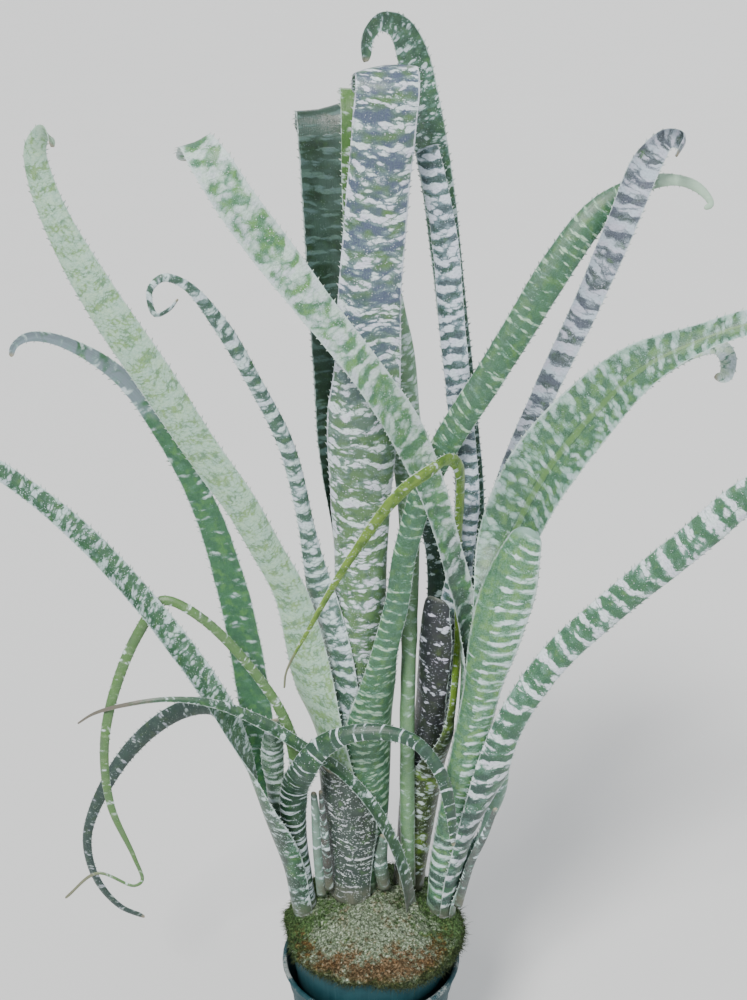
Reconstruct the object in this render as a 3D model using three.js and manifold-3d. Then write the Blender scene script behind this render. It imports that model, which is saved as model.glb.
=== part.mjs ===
// Billbergia: a clump of tubular bromeliad shoots with banded strap leaves,
// rooted in a mound of moss in a stack of two nursery pots.
// Millimetres, +Z up, origin at the middle of the outer pot's foot.

import * as THREE from "three";
import { mergeVertices } from "three/addons/utils/BufferGeometryUtils.js";
import Module from "manifold-3d";

const wasm = await Module();
wasm.setup();

const degrees = THREE.MathUtils.degToRad;
const smooth = (from, to, value) => THREE.MathUtils.smoothstep(value, from, to);
const lerp = THREE.MathUtils.lerp;

// Pots: a plain outer one and a slightly smaller one standing in it
const potSides = 30;
const outerPot = { foot: 0, base: 54, mouth: 73.8, height: 140, collar: 24, step: 1.8, lip: 2.2 };
const innerPot = { foot: 31, base: 55.5, mouth: 68.6, height: 139, collar: 36, step: 1.6, lip: 1.4 };
const potWall = 1.6;
const potFloor = 2.4;
const collarRise = 0.7;
const footRound = 1.5;
const drainCount = 6;
const drainRadius = 5;
const drainCircle = 34;

// Potting mix and moss mound
const mixTop = 159.6;
const gap = 0.4;
const mixInset = 1;
const moss = {
  under: 160,
  rim: 170.6,
  shoulder: 172,
  dome: 25,
  domeRadius: 80,
  backRise: 0.09,
  sideDrop: 5,
  reach: 74.5,
  bulge: 6,
  skirt: 164.5,
  sag: 8,
  rings: [14, 30, 44, 57],
  sole: 30,
  insideGap: 1.2,
  outsideGap: 0.8,
};
const mossSides = 40;
const rootDepth = 5;
const shootClearance = 1.6;
const stripClearance = 1.5;

// Leaves
const leafThickness = 1;
const sheathWrap = degrees(72);
const sheathHeights = [-5, 15, 45, 75, 110, 150, 200, 250, 300];
const ringGap = 1.6;
const columns = [-1, -0.5, 0, 0.5, 1];
const spanSamples = 12;
const rowEvery = 80;
const rowTurn = degrees(32);
const twistLength = 160;
const tipWidth = 1.6;

// Teeth along the leaf margins
const toothReach = 2.4;
const toothBase = 4;
const toothEvery = 44;
const toothLean = 2;

// Shoots: the axis of each tube of nested leaf sheaths, its radius at the moss and above, and
// the height over which it widens
const shoots = {
  central: {
    radii: [10, 18],
    grow: 90,
    axis: [
      [-13, 18, 196], [-12, 21, 241], [-11, 22, 281], [-9, 22, 377], [-8, 22, 467], [-7, 22, 552],
      [-6, 22, 616],
    ],
  },
  rear: {
    radii: [6, 9],
    grow: 90,
    axis: [
      [32, 32, 194], [37, 38, 239], [42, 37, 290], [54, 34, 370], [61, 32, 426], [63, 30, 480],
    ],
  },
  right: {
    radii: [5, 8],
    grow: 70,
    axis: [
      [58, 12, 178], [61, 10, 214], [67, 9, 260], [76, 6, 330], [82, 3, 397], [87, 0, 452],
      [93, -2, 495],
    ],
  },
  left: {
    radii: [3, 4],
    grow: 60,
    axis: [
      [-55, 9, 180], [-61, 10, 219], [-63, 9, 260], [-65, 8, 295], [-66, 7, 320],
    ],
  },
};

// Leaves: the shoot and ring a leaf's sheath wraps, the compass direction of its back (degrees from
// +X), the height where it leaves the shoot, and the free midrib as [x, y, z, blade width] points.
// channel and flat are half-angles of the gutter-shaped section along the blade and at its tip,
// open is the length over which the sheath unrolls, curl the length of the recurved tip.
const leaves = [
  {
    name: "leaf_center_front",
    shoot: "central", azimuth: 270, ring: 2, rise: 300,
    channel: 0.55, open: 180, twist: 0, flat: 0.22, curl: 120,
    colour: "#93a39a",
    path: [
      [-6, -7, 618, 57], [-2, -6, 663, 51], [0, -4, 721, 47], [5, 0, 783, 46], [10, 2, 836, 45],
      [12, 6, 858, 44], [11, 18, 869, 44], [7, 34, 865, 42], [6, 46, 848, 42],
    ],
  },
  {
    name: "leaf_left_tall",
    shoot: "central", azimuth: 198, ring: 6, rise: 110,
    channel: 0.45, open: 80, twist: 75,
    colour: "#8ea07f",
    path: [
      [-45, 3, 387, 41], [-60, 0, 477, 27], [-79, -4, 521, 25], [-97, -7, 559, 26],
      [-125, -9, 605, 27], [-155, -10, 658, 29], [-190, -5, 714, 28], [-218, 4, 767, 22],
      [-228, 9, 795, 19], [-230, 10, 815, 16], [-223, 6, 827, 12], [-217, -2, 827, 12],
      [-214, -9, 820, 12],
    ],
  },
  {
    name: "leaf_right_light",
    shoot: "central", azimuth: 306, ring: 5, rise: 150,
    channel: 0.6, open: 120, twist: -45,
    colour: "#a3ad95",
    path: [
      [11, -10, 431, 24], [20, -3, 475, 20], [26, 2, 515, 19], [41, 8, 569, 21], [58, 12, 604, 23],
      [82, 18, 642, 24], [110, 24, 688, 25], [137, 31, 733, 26], [164, 38, 768, 22],
      [192, 45, 785, 14], [219, 50, 789, 9], [237, 50, 783, 8], [246, 47, 772, 5],
      [241, 45, 769, 5],
    ],
  },
  {
    name: "leaf_coiled",
    shoot: "central", azimuth: 198, ring: 4, rise: 200,
    channel: 0.6, open: 100, twist: 90,
    colour: "#7f938a",
    path: [
      [-44, 6, 508, 17], [-61, 6, 598, 13], [-83, 4, 649, 12], [-106, 0, 694, 12],
      [-130, -4, 725, 7], [-145, -6, 730, 6], [-155, -5, 720, 5], [-152, -2, 702, 5],
      [-142, 0, 706, 4], [-136, 2, 713, 2],
    ],
  },
  {
    name: "leaf_back_left",
    shoot: "central", azimuth: 126, ring: 1, rise: 300,
    channel: 0.5, open: 120, twist: -35, flat: 0.22, curl: 110,
    colour: "#4f6557",
    path: [
      [-24, 50, 623, 39], [-27, 53, 700, 40], [-32, 57, 773, 37], [-35, 61, 821, 35],
      [-37, 70, 835, 34], [-39, 86, 829, 33], [-40, 99, 813, 33],
    ],
  },
  {
    name: "leaf_back_strip",
    shoot: "central", azimuth: 90, ring: 0, rise: 300,
    channel: 0.6, open: 120, twist: 0, flat: 0.22, curl: 90,
    colour: "#8d9c78",
    path: [
      [-5, 42, 625, 27], [-7, 42, 703, 25], [-9, 43, 790, 24], [-10, 48, 839, 22],
      [-11, 60, 851, 22], [-11, 73, 840, 22],
    ],
  },
  {
    name: "leaf_short_bract",
    shoot: "central", azimuth: 234, ring: 7, rise: 75,
    channel: 1, open: 60, twist: 0, tip: 8,
    colour: "#6f6a6e",
    path: [
      [-31, -5, 298, 58], [-33, -4, 313, 46], [-34, -7, 330, 38],
    ],
  },
  {
    name: "leaf_top_arch",
    shoot: "rear", azimuth: 54, ring: 1, rise: 200,
    channel: 0.6, open: 100, twist: 55,
    colour: "#7f9080",
    path: [
      [78, 50, 523, 24], [71, 52, 606, 24], [59, 56, 699, 25], [48, 60, 780, 27],
      [37, 63, 836, 28], [28, 60, 875, 25], [19, 52, 893, 18], [6, 44, 897, 14], [-3, 36, 887, 14],
      [-4, 32, 871, 14],
    ],
  },
  {
    name: "leaf_blue_banded",
    shoot: "rear", azimuth: 270, ring: 3, rise: 200,
    channel: 0.6, open: 80, twist: -10, flat: 0.25, curl: 70,
    colour: "#7f8f95",
    path: [
      [71, 26, 499, 20], [74, 28, 549, 20], [69, 30, 605, 20], [60, 32, 682, 21],
      [53, 33, 749, 20], [44, 33, 795, 18], [40, 36, 811, 17], [40, 45, 812, 17],
      [41, 53, 800, 17],
    ],
  },
  {
    name: "leaf_folded_center",
    shoot: "rear", azimuth: 306, ring: 5, rise: 110,
    channel: 0.5, open: 60, twist: 15,
    colour: "#9aa45c",
    path: [
      [64, 1, 366, 12], [70, 14, 427, 12], [70, 17, 478, 12], [68, 17, 516, 14], [69, 12, 556, 13],
      [66, -8, 588, 11], [57, -26, 602, 10], [44, -44, 600, 15], [22, -48, 584, 15],
      [-14, -50, 534, 10], [-45, -55, 480, 5], [-62, -58, 447, 2], [-64, -57, 433, 1],
    ],
  },
  {
    name: "leaf_rear",
    shoot: "rear", azimuth: 90, ring: 2, rise: 150,
    channel: 0.6, open: 120, twist: 0,
    colour: "#566a5c",
    path: [
      [56, 70, 479, 22], [44, 92, 523, 22], [27, 122, 574, 22], [14, 152, 616, 21],
      [4, 186, 641, 18], [-1, 212, 643, 18], [-5, 234, 628, 13],
    ],
  },
  {
    name: "leaf_back_short",
    shoot: "rear", azimuth: 234, ring: 4, rise: 150,
    channel: 0.9, open: 60, twist: 0, tip: 8,
    colour: "#5c6350",
    path: [
      [45, 10, 393, 34], [47, 4, 437, 36], [48, 4, 463, 29], [50, 6, 477, 24],
    ],
  },
  {
    name: "leaf_upper_left",
    shoot: "right", azimuth: 162, ring: 1, rise: 200,
    channel: 0.6, open: 140, twist: -45, flat: 0.25, curl: 80,
    colour: "#a3b095",
    path: [
      [71, 11, 463, 26], [59, 9, 519, 21], [45, 0, 568, 24], [24, -12, 620, 29],
      [-2, -30, 667, 26], [-33, -40, 711, 27], [-65, -44, 755, 30], [-89, -46, 789, 30],
      [-105, -42, 815, 27], [-114, -30, 825, 23], [-118, -14, 821, 23], [-122, 0, 810, 23],
    ],
  },
  {
    name: "leaf_right_arch",
    shoot: "right", azimuth: 342, ring: 2, rise: 150,
    channel: 0.6, open: 100, twist: 70,
    colour: "#8d9c80",
    path: [
      [91, -10, 482, 27], [106, 9, 523, 52], [129, 0, 583, 58], [161, -6, 631, 51],
      [192, -12, 666, 38], [231, -18, 689, 22], [270, -24, 704, 19], [304, -30, 707, 13],
      [321, -32, 695, 11],
    ],
  },
  {
    name: "leaf_right_hanging",
    shoot: "right", azimuth: 54, ring: 3, rise: 150,
    channel: 0.6, open: 80, twist: 15,
    colour: "#8b998c",
    path: [
      [104, 21, 476, 16], [124, 27, 533, 17], [158, 25, 599, 17], [200, 22, 645, 15],
      [233, 18, 670, 13], [252, 12, 676, 13], [259, 8, 668, 13], [257, 4, 655, 10],
      [249, 3, 655, 10],
    ],
  },
  {
    name: "leaf_right_short",
    shoot: "right", azimuth: 270, ring: 4, rise: 75,
    channel: 0.8, open: 120, twist: -15, tip: 10,
    colour: "#96a585",
    path: [
      [84, -21, 402, 32], [93, -27, 457, 44], [103, -23, 497, 46], [112, -21, 529, 32],
      [118, -17, 545, 23],
    ],
  },
  {
    name: "leaf_right_purple",
    shoot: "right", azimuth: 162, ring: 0, rise: 200,
    channel: 0.7, open: 120, twist: -75,
    colour: "#84868d",
    path: [
      [94, 20, 490, 19], [99, 26, 542, 20], [113, 31, 589, 20], [132, 32, 640, 20],
      [158, 35, 701, 22], [179, 33, 760, 24], [197, 39, 805, 23], [209, 37, 820, 16],
      [219, 28, 819, 16], [213, 22, 809, 14],
    ],
  },
  {
    name: "leaf_right_low",
    shoot: "right", azimuth: 342, ring: 5, rise: 45,
    channel: 0.6, open: 120, twist: -80,
    colour: "#98a58f",
    path: [
      [92, -14, 304, 32], [107, -28, 380, 25], [139, -28, 438, 26], [183, -30, 487, 27],
      [239, -35, 544, 28], [271, -37, 577, 27], [305, -41, 601, 22], [335, -44, 607, 13],
      [351, -45, 594, 7],
    ],
  },
  {
    name: "leaf_right_edge",
    shoot: "right", azimuth: 18, ring: 6, rise: 15,
    channel: 0.8, open: 100, twist: -120, tip: 8,
    colour: "#b9bda5",
    path: [
      [92, 13, 241, 25], [106, 19, 277, 20], [109, 15, 315, 12], [112, 14, 346, 8],
    ],
  },
  {
    name: "leaf_curled_front",
    shoot: "left", azimuth: 306, ring: 4, rise: 45,
    channel: 0.6, open: 100, twist: -85,
    colour: "#7d9178",
    path: [
      [-63, -8, 301, 24], [-54, -34, 345, 23], [-41, -34, 365, 20], [-20, -38, 380, 15],
      [7, -41, 385, 13], [34, -44, 378, 11], [54, -46, 352, 11], [63, -45, 317, 10],
      [66, -43, 282, 4],
    ],
  },
  {
    name: "leaf_low_left",
    shoot: "left", azimuth: 234, ring: 5, rise: 45,
    channel: 0.6, open: 100, twist: -90, twistOver: 220,
    colour: "#86967f",
    path: [
      [-88, -13, 298, 34], [-102, -8, 340, 34], [-126, -10, 401, 26], [-169, -16, 478, 22],
      [-214, -26, 544, 20], [-252, -35, 586, 16], [-286, -43, 614, 13], [-311, -48, 620, 9],
      [-324, -50, 609, 7],
    ],
  },
  {
    name: "leaf_left_green",
    shoot: "left", azimuth: 162, ring: 2, rise: 45,
    channel: 0.5, open: 40, twist: -80,
    colour: "#6d8a5e",
    path: [
      [-87, 31, 289, 22], [-94, 26, 374, 28], [-105, 23, 462, 27], [-126, 22, 546, 22],
      [-151, 21, 601, 17], [-183, 18, 652, 15], [-225, 14, 680, 10], [-247, 12, 683, 8],
      [-258, 12, 676, 5], [-261, 12, 668, 5],
    ],
  },
  {
    name: "leaf_left_folded",
    shoot: "left", azimuth: 306, ring: 1, rise: 50,
    channel: 0.7, open: 90, twist: -15,
    colour: "#a4a566",
    path: [
      [-59, -2, 330, 13], [-70, -5, 379, 9], [-94, -7, 423, 8], [-127, -9, 464, 8],
      [-152, -6, 479, 8], [-161, -6, 479, 9], [-168, -12, 472, 9], [-191, -14, 429, 9],
      [-207, -27, 374, 8], [-208, -25, 308, 7], [-192, -26, 258, 4], [-187, -26, 235, 3],
      [-194, -26, 230, 3], [-223, -24, 241, 3], [-252, -22, 215, 2],
    ],
  },
  {
    name: "leaf_left_bud",
    shoot: "left", azimuth: 234, ring: 0, rise: 45,
    channel: 0.8, open: 60, twist: 60, tip: 8,
    colour: "#7f8f6c",
    path: [
      [-77, 6, 271, 13], [-79, 6, 306, 17], [-79, 6, 339, 21], [-75, 6, 369, 13],
    ],
  },
  {
    name: "leaf_left_droop",
    shoot: "left", azimuth: 126, ring: 3, rise: 15,
    channel: 0.6, open: 80, twist: 135,
    colour: "#5c6f60",
    path: [
      [-95, 46, 298, 24], [-111, 52, 332, 18], [-134, 55, 350, 19], [-161, 58, 344, 17],
      [-198, 64, 313, 15], [-233, 69, 261, 12], [-253, 72, 207, 9], [-249, 74, 162, 8],
      [-230, 76, 129, 7], [-208, 77, 116, 6],
    ],
  },
];

// A strip has no sheath: it stands in the moss by itself, its hollow side towards inward.
const strips = [
  {
    name: "dry_sheath_right",
    inward: [0, 1, 0.2],
    channel: 0.8, tip: 6,
    colour: "#a38d84",
    toothed: false,
    path: [
      [74, -12, 202, 8], [82, -17, 244, 8], [93, -19, 275, 7], [101, -19, 301, 4],
    ],
  },
  {
    name: "leaf_thin_front",
    inward: [0, -0.2, 1],
    channel: 0.6,
    colour: "#8f9f6e",
    path: [
      [32, -2, 192, 18], [27, -6, 225, 16], [17, -12, 263, 14], [-1, -16, 303, 13],
      [-25, -14, 332, 12], [-53, -11, 351, 12], [-83, -16, 376, 12], [-120, -27, 401, 8],
      [-154, -30, 407, 5], [-185, -30, 403, 4], [-215, -22, 390, 3], [-229, -20, 380, 1],
    ],
  },
  {
    name: "leaf_right_inner",
    inward: [0, 1, 0],
    channel: 1.5, flat: 1, curl: 330,
    colour: "#8fa58d",
    toothed: false,
    path: [
      [32, 12, 203, 18], [31, 12, 258, 18], [30, 12, 326, 18], [30, 13, 391, 18],
      [31, 18, 451, 18], [31, 25, 500, 19], [30, 28, 549, 23], [26, 29, 606, 29],
      [21, 30, 660, 29], [17, 31, 698, 20], [13, 31, 716, 19],
    ],
  },
  {
    name: "dry_sheath_left_a",
    inward: [0, 1, 0],
    channel: 0.8, tip: 6,
    colour: "#b5b099",
    toothed: false,
    path: [
      [-42, 4, 201, 9], [-44, 3, 234, 9], [-45, 3, 269, 9], [-47, 4, 301, 5],
    ],
  },
  {
    name: "dry_sheath_left_b",
    inward: [0, 1, 0],
    channel: 0.8, tip: 6,
    colour: "#8c7a60",
    toothed: false,
    path: [
      [-35, 2, 208, 8], [-37, -2, 243, 8], [-39, -3, 278, 6], [-41, -3, 307, 3],
    ],
  },
  {
    name: "young_shoot_tip",
    inward: [0, 1, 0],
    channel: 1, tip: 6,
    colour: "#8d9377",
    toothed: false,
    path: [
      [11, 4, 207, 13], [8, 2, 230, 14], [9, 2, 247, 12], [11, 3, 260, 8],
    ],
  },
];

// A closed surface collected point by point and triangle by triangle
class Surface {
  constructor() {
    this.positions = [];
    this.triangles = [];
  }

  point(p) {
    this.positions.push(p.x, p.y, p.z);
    return this.positions.length / 3 - 1;
  }

  fan(corners) {
    for (let i = 1; i + 1 < corners.length; i += 1) {
      this.triangles.push([corners[0], corners[i], corners[i + 1]]);
    }
  }

  corner(index) {
    return new THREE.Vector3().fromArray(this.positions, 3 * index);
  }

  volume() {
    return this.triangles.reduce((sum, [a, b, c]) => {
      return sum + this.corner(a).dot(this.corner(b).cross(this.corner(c))) / 6;
    }, 0);
  }

  geometry() {
    const outward = this.volume() > 0;
    const order = this.triangles.flatMap(([a, b, c]) => (outward ? [a, b, c] : [a, c, b]));
    const geometry = new THREE.BufferGeometry();
    geometry.setAttribute("position", new THREE.Float32BufferAttribute(this.positions, 3));
    geometry.setIndex(order);
    return geometry;
  }
}

// Boolean cuts
function toSolid(geometry) {
  const bare = geometry.clone();
  bare.deleteAttribute("normal");
  bare.deleteAttribute("uv");
  const merged = mergeVertices(bare, 1e-3);
  return new wasm.Manifold(new wasm.Mesh({
    numProp: 3,
    vertProperties: new Float32Array(merged.attributes.position.array),
    triVerts: new Uint32Array(merged.index.array),
  }));
}

function toGeometry(solid) {
  const mesh = solid.getMesh();
  const geometry = new THREE.BufferGeometry();
  geometry.setAttribute("position", new THREE.BufferAttribute(mesh.vertProperties, 3));
  geometry.setIndex(new THREE.BufferAttribute(mesh.triVerts, 1));
  return geometry;
}

function cut(geometry, tools) {
  return toGeometry(tools.reduce((solid, tool) => solid.subtract(toSolid(tool)), toSolid(geometry)));
}

// A round peg from foot along a direction, used to cut a hole
function peg(foot, direction, radius, below, above, sides) {
  const geometry = new THREE.CylinderGeometry(radius, radius, below + above, sides);
  const turn = new THREE.Quaternion().setFromUnitVectors(new THREE.Vector3(0, 1, 0), direction);
  geometry.applyQuaternion(turn);
  const middle = foot.clone().addScaledVector(direction, (above - below) / 2);
  return geometry.translate(middle.x, middle.y, middle.z);
}

// Pots
function potGeometry({ foot, base, mouth, height, collar, step, lip }) {
  const slope = (mouth - base) / height;
  const wallAt = (z) => base + slope * z;
  const top = height - lip;
  const points = [
    [0, 0],
    [base - footRound, 0],
    [base, footRound],
    [wallAt(height - collar) - step, height - collar],
    [wallAt(height - collar), height - collar + step],
    [wallAt(top - lip), top - lip],
  ];
  for (const angle of [-60, 0, 60, 120]) {
    points.push([mouth + lip * Math.cos(degrees(angle)), top + lip * Math.sin(degrees(angle))]);
  }
  points.push(
    [wallAt(top - lip) - potWall, top - lip],
    [wallAt(height - collar) - potWall, height - collar + step + collarRise],
    [wallAt(height - collar) - potWall - step, height - collar + collarRise],
    [wallAt(potFloor) - potWall, potFloor],
    [0, potFloor],
  );
  const lathe = new THREE.LatheGeometry(points.map(([r, z]) => new THREE.Vector2(r, z)), potSides);
  lathe.rotateX(Math.PI / 2);
  const drains = [];
  for (let i = 0; i < drainCount; i += 1) {
    const angle = (2 * Math.PI * (i + 0.5)) / drainCount;
    const spot = new THREE.Vector3(drainCircle * Math.cos(angle), drainCircle * Math.sin(angle), 0);
    drains.push(peg(spot, new THREE.Vector3(0, 0, 1), drainRadius, potFloor, 2 * potFloor, 10));
  }
  return cut(lathe, drains).translate(0, 0, foot);
}

// Potting mix that fills the inner pot
function mixGeometry() {
  const { foot, base, mouth, height, collar, step } = innerPot;
  const slope = (mouth - base) / height;
  const insideAt = (z) => base + slope * (z - foot) - potWall - gap;
  const ledge = foot + height - collar - step - mixInset;
  const bottom = foot + potFloor + gap;
  const profile = [
    [0, bottom],
    [insideAt(bottom), bottom],
    [insideAt(ledge) - step, ledge],
    [insideAt(ledge) - step, ledge + 2 * step],
    [insideAt(mixTop) - mixInset, mixTop],
    [0, mixTop],
  ];
  const geometry = new THREE.LatheGeometry(profile.map(([r, z]) => new THREE.Vector2(r, z)), potSides);
  return geometry.rotateX(Math.PI / 2);
}

// Moss: height of the mound above a point, with soft hummocks
function mossHeight(x, y) {
  const radius = Math.hypot(x, y);
  const dome = moss.dome * (1 - (Math.min(radius, moss.domeRadius) / moss.domeRadius) ** 1.7);
  const sides = moss.sideDrop * smooth(35, 60, Math.abs(x));
  const hummocks = 1.1 * Math.sin(x / 9 + 1) * Math.cos(y / 8) + 0.8 * Math.sin(x / 5 - y / 6);
  return moss.shoulder + dome + moss.backRise * y - sides + hummocks;
}

// The mound hangs over the pot most at its right: how near a direction is to that side
function overhang(angle) {
  return Math.max(0, Math.cos(angle + 0.3)) ** 2;
}

// How far the mound bulges over the pot's rim in a direction, and the height of its lower edge there
function mossReach(angle) {
  const ripple = 1.2 * Math.sin(5 * angle + 1) + 0.8 * Math.sin(9 * angle);
  return moss.reach + moss.bulge * overhang(angle) + ripple;
}

function mossSkirt(angle) {
  return moss.skirt - moss.sag * overhang(angle) + 1.1 * Math.sin(7 * angle);
}

function mossGeometry(tools) {
  const body = new Surface();
  const inside = innerPot.mouth - innerPot.lip - potWall - moss.insideGap;
  const outside = innerPot.mouth + innerPot.lip + moss.outsideGap;
  const rings = [];
  const profileAt = (angle) => {
    const reach = mossReach(angle);
    const skirt = mossSkirt(angle);
    const top = (r) => mossHeight(r * Math.cos(angle), r * Math.sin(angle));
    const edge = Math.max(top(reach * 0.9), moss.rim + 3);
    return [
      ...moss.rings.map((r) => [r, top(r)]),
      [reach * 0.9, edge],
      [reach * 0.98, lerp(skirt, edge, 0.6)],
      [reach * 0.97, skirt + 1],
      [(reach * 0.97 + outside) / 2, skirt],
      [outside, skirt + 1],
      [outside, moss.rim],
      [inside, moss.rim],
      [inside, moss.under],
      [moss.sole, moss.under],
    ];
  };
  for (let i = 0; i < mossSides; i += 1) {
    const angle = (2 * Math.PI * i) / mossSides;
    rings.push(profileAt(angle).map(([r, z]) => {
      return body.point(new THREE.Vector3(r * Math.cos(angle), r * Math.sin(angle), z));
    }));
  }
  const crown = body.point(new THREE.Vector3(0, 0, mossHeight(0, 0)));
  const sole = body.point(new THREE.Vector3(0, 0, moss.under));
  rings.forEach((ring, i) => {
    const next = rings[(i + 1) % mossSides];
    body.fan([crown, ring[0], next[0]]);
    for (let k = 0; k + 1 < ring.length; k += 1) {
      body.fan([ring[k], ring[k + 1], next[k + 1]]);
      body.fan([ring[k], next[k + 1], next[k]]);
    }
    body.fan([sole, next.at(-1), ring.at(-1)]);
  });
  return cut(body.geometry(), tools);
}

// Curve through the knots [x, y, z, width] as a centripetal Catmull-Rom spline: every span is cut
// into equal steps, and the width is carried along as a fourth coordinate
function trackThrough(knots) {
  const beyond = (end, inner) => end.clone().multiplyScalar(2).sub(inner);
  const all = [beyond(knots[0], knots[1]), ...knots, beyond(knots.at(-1), knots.at(-2))];
  const reach = (a, b) => Math.sqrt(Math.hypot(b.x - a.x, b.y - a.y, b.z - a.z));
  const slope = (a, b, c, before, after, span) => {
    return b.clone().sub(a).divideScalar(before)
      .sub(c.clone().sub(a).divideScalar(before + after))
      .add(c.clone().sub(b).divideScalar(after))
      .multiplyScalar(span);
  };
  const samples = [];
  for (let i = 1; i + 2 < all.length; i += 1) {
    const [a, b, c, d] = all.slice(i - 1, i + 3);
    const [ab, bc, cd] = [reach(a, b), reach(b, c), reach(c, d)];
    const leave = slope(a, b, c, ab, bc, bc);
    const arrive = slope(b, c, d, bc, cd, bc);
    for (let k = 0; k < spanSamples; k += 1) {
      const t = k / spanSamples;
      const point = b.clone().addScaledVector(leave, t - 2 * t ** 2 + t ** 3);
      point.addScaledVector(arrive, t ** 3 - t ** 2);
      point.addScaledVector(c.clone().sub(b), 3 * t ** 2 - 2 * t ** 3);
      samples.push(point);
    }
  }
  samples.push(knots.at(-1).clone());
  return samples;
}

const place = (v) => new THREE.Vector3(v.x, v.y, v.z);

// The axis of a shoot: centre and direction at a height above its foot, radius of a ring of sheath
class Shoot {
  constructor({ axis, radii, grow }) {
    this.samples = trackThrough(axis.map(([x, y, z]) => new THREE.Vector4(x, y, z, 0))).map(place);
    this.foot = this.samples[0];
    this.radii = radii;
    this.grow = grow;
  }

  centre(height) {
    const z = this.foot.z + height;
    const next = Math.max(1, this.samples.findIndex((p) => p.z > z));
    const [a, b] = [this.samples[next - 1], this.samples[next]];
    return a.clone().lerp(b, (z - a.z) / (b.z - a.z));
  }

  direction(height) {
    return this.centre(height + 4).sub(this.centre(height - 4)).normalize();
  }

  radius(height, ring) {
    return lerp(this.radii[0], this.radii[1], smooth(0, this.grow, height)) + ring * ringGap;
  }
}

// The part of a leaf that wraps its shoot: one knot for each height, with the leaf's inward normal
function sheathKnots(shoot, { azimuth, ring, rise }) {
  const outward = new THREE.Vector3(Math.cos(degrees(azimuth)), Math.sin(degrees(azimuth)), 0);
  return sheathHeights.filter((height) => height <= rise).map((height) => {
    const along = shoot.direction(height);
    const normal = along.clone().multiplyScalar(along.dot(outward)).sub(outward).normalize();
    const radius = shoot.radius(height, ring);
    const spot = shoot.centre(height).addScaledVector(normal, -radius);
    return { along, normal, knot: new THREE.Vector4(spot.x, spot.y, spot.z, 2 * sheathWrap * radius) };
  });
}

// Rows of a leaf: midrib point, width, half-angle of the section, and the two directions that span it.
// The inward normal is carried up the blade without turning about it, and then twisted by `twist`.
function leafRows(leaf, shoot) {
  const sheath = shoot ? sheathKnots(shoot, leaf) : [];
  const free = leaf.path.map((p) => new THREE.Vector4(...p));
  if (!shoot) {
    const down = place(free[0]).sub(place(free[1])).setLength(rootDepth);
    free.unshift(new THREE.Vector4(free[0].x + down.x, free[0].y + down.y, free[0].z + down.z, free[0].w));
  }
  const samples = trackThrough([...sheath.map((s) => s.knot), ...free]);
  const points = samples.map(place);
  const runs = [0];
  for (let i = 1; i < points.length; i += 1) {
    runs.push(runs[i - 1] + points[i].distanceTo(points[i - 1]));
  }
  const length = runs.at(-1);
  const leave = Math.max(0, (sheath.length - 1) * spanSamples);
  const start = shoot ? runs[leave] : 0;
  const tangents = points.map((p, i) => {
    return points[Math.min(i + 1, points.length - 1)].clone().sub(points[Math.max(i - 1, 0)]).normalize();
  });
  const normals = [];
  for (let i = 0; i < leave; i += 1) {
    const k = Math.floor(i / spanSamples);
    const t = i / spanSamples - k;
    tangents[i] = sheath[k].along.clone().lerp(sheath[k + 1].along, t).normalize();
    const normal = sheath[k].normal.clone().lerp(sheath[k + 1].normal, t);
    normals.push(normal.addScaledVector(tangents[i], -normal.dot(tangents[i])).normalize());
  }
  let normal = shoot ? sheath.at(-1).normal.clone() : new THREE.Vector3(...leaf.inward);
  for (let i = leave; i < points.length; i += 1) {
    normal = normal.clone().addScaledVector(tangents[i], -normal.dot(tangents[i])).normalize();
    normals.push(normal);
  }
  const channel = leaf.channel;
  const flat = leaf.flat ?? channel;
  const curl = leaf.curl ?? 90;
  const tip = leaf.tip ?? 12;
  const rowAt = (i) => {
    const run = runs[i];
    const turned = shoot ? smooth(start, start + (leaf.twistOver ?? twistLength), run) : 1;
    const twist = degrees(leaf.twist ?? 0) * turned;
    const side = tangents[i].clone().cross(normals[i]);
    const up = normals[i].clone().multiplyScalar(Math.cos(twist)).addScaledVector(side, Math.sin(twist));
    const opened = shoot ? smooth(start, start + leaf.open, run) : 1;
    const blade = lerp(channel, flat, smooth(length - curl, length - 0.35 * curl, run));
    const ending = THREE.MathUtils.clamp((run - length + tip) / tip, 0, 1);
    const width = samples[i].w * Math.sqrt(1 - ending ** 2) + tipWidth * ending;
    return {
      run,
      centre: points[i],
      up,
      side: tangents[i].clone().cross(up),
      halfAngle: opened < 1 ? lerp(sheathWrap, blade, opened) : blade,
      width: Math.max(width, tipWidth),
    };
  };
  const rows = [];
  for (let i = 0; i <= leave; i += spanSamples) {
    rows.push(rowAt(i));
  }
  for (let i = leave; i + 1 < points.length; i += spanSamples) {
    const end = i + spanSamples;
    const turn = tangents[i].angleTo(tangents[end]);
    const parts = Math.max(1, Math.round(Math.max((runs[end] - runs[i]) / rowEvery, turn / rowTurn)));
    for (let k = 1; k <= parts; k += 1) {
      rows.push(rowAt(Math.round(i + (spanSamples * k) / parts)));
    }
  }
  return { rows, start, length };
}

// Point of a row's gutter-shaped section: u runs from -1 to 1 across it, depth off its middle surface
function sectionPoint(row, u, depth) {
  const radius = row.width / (2 * row.halfAngle);
  const angle = u * row.halfAngle;
  const across = (radius - depth) * Math.sin(angle);
  const rise = radius - (radius - depth) * Math.cos(angle);
  return row.centre.clone().addScaledVector(row.side, across).addScaledVector(row.up, rise);
}

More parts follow.
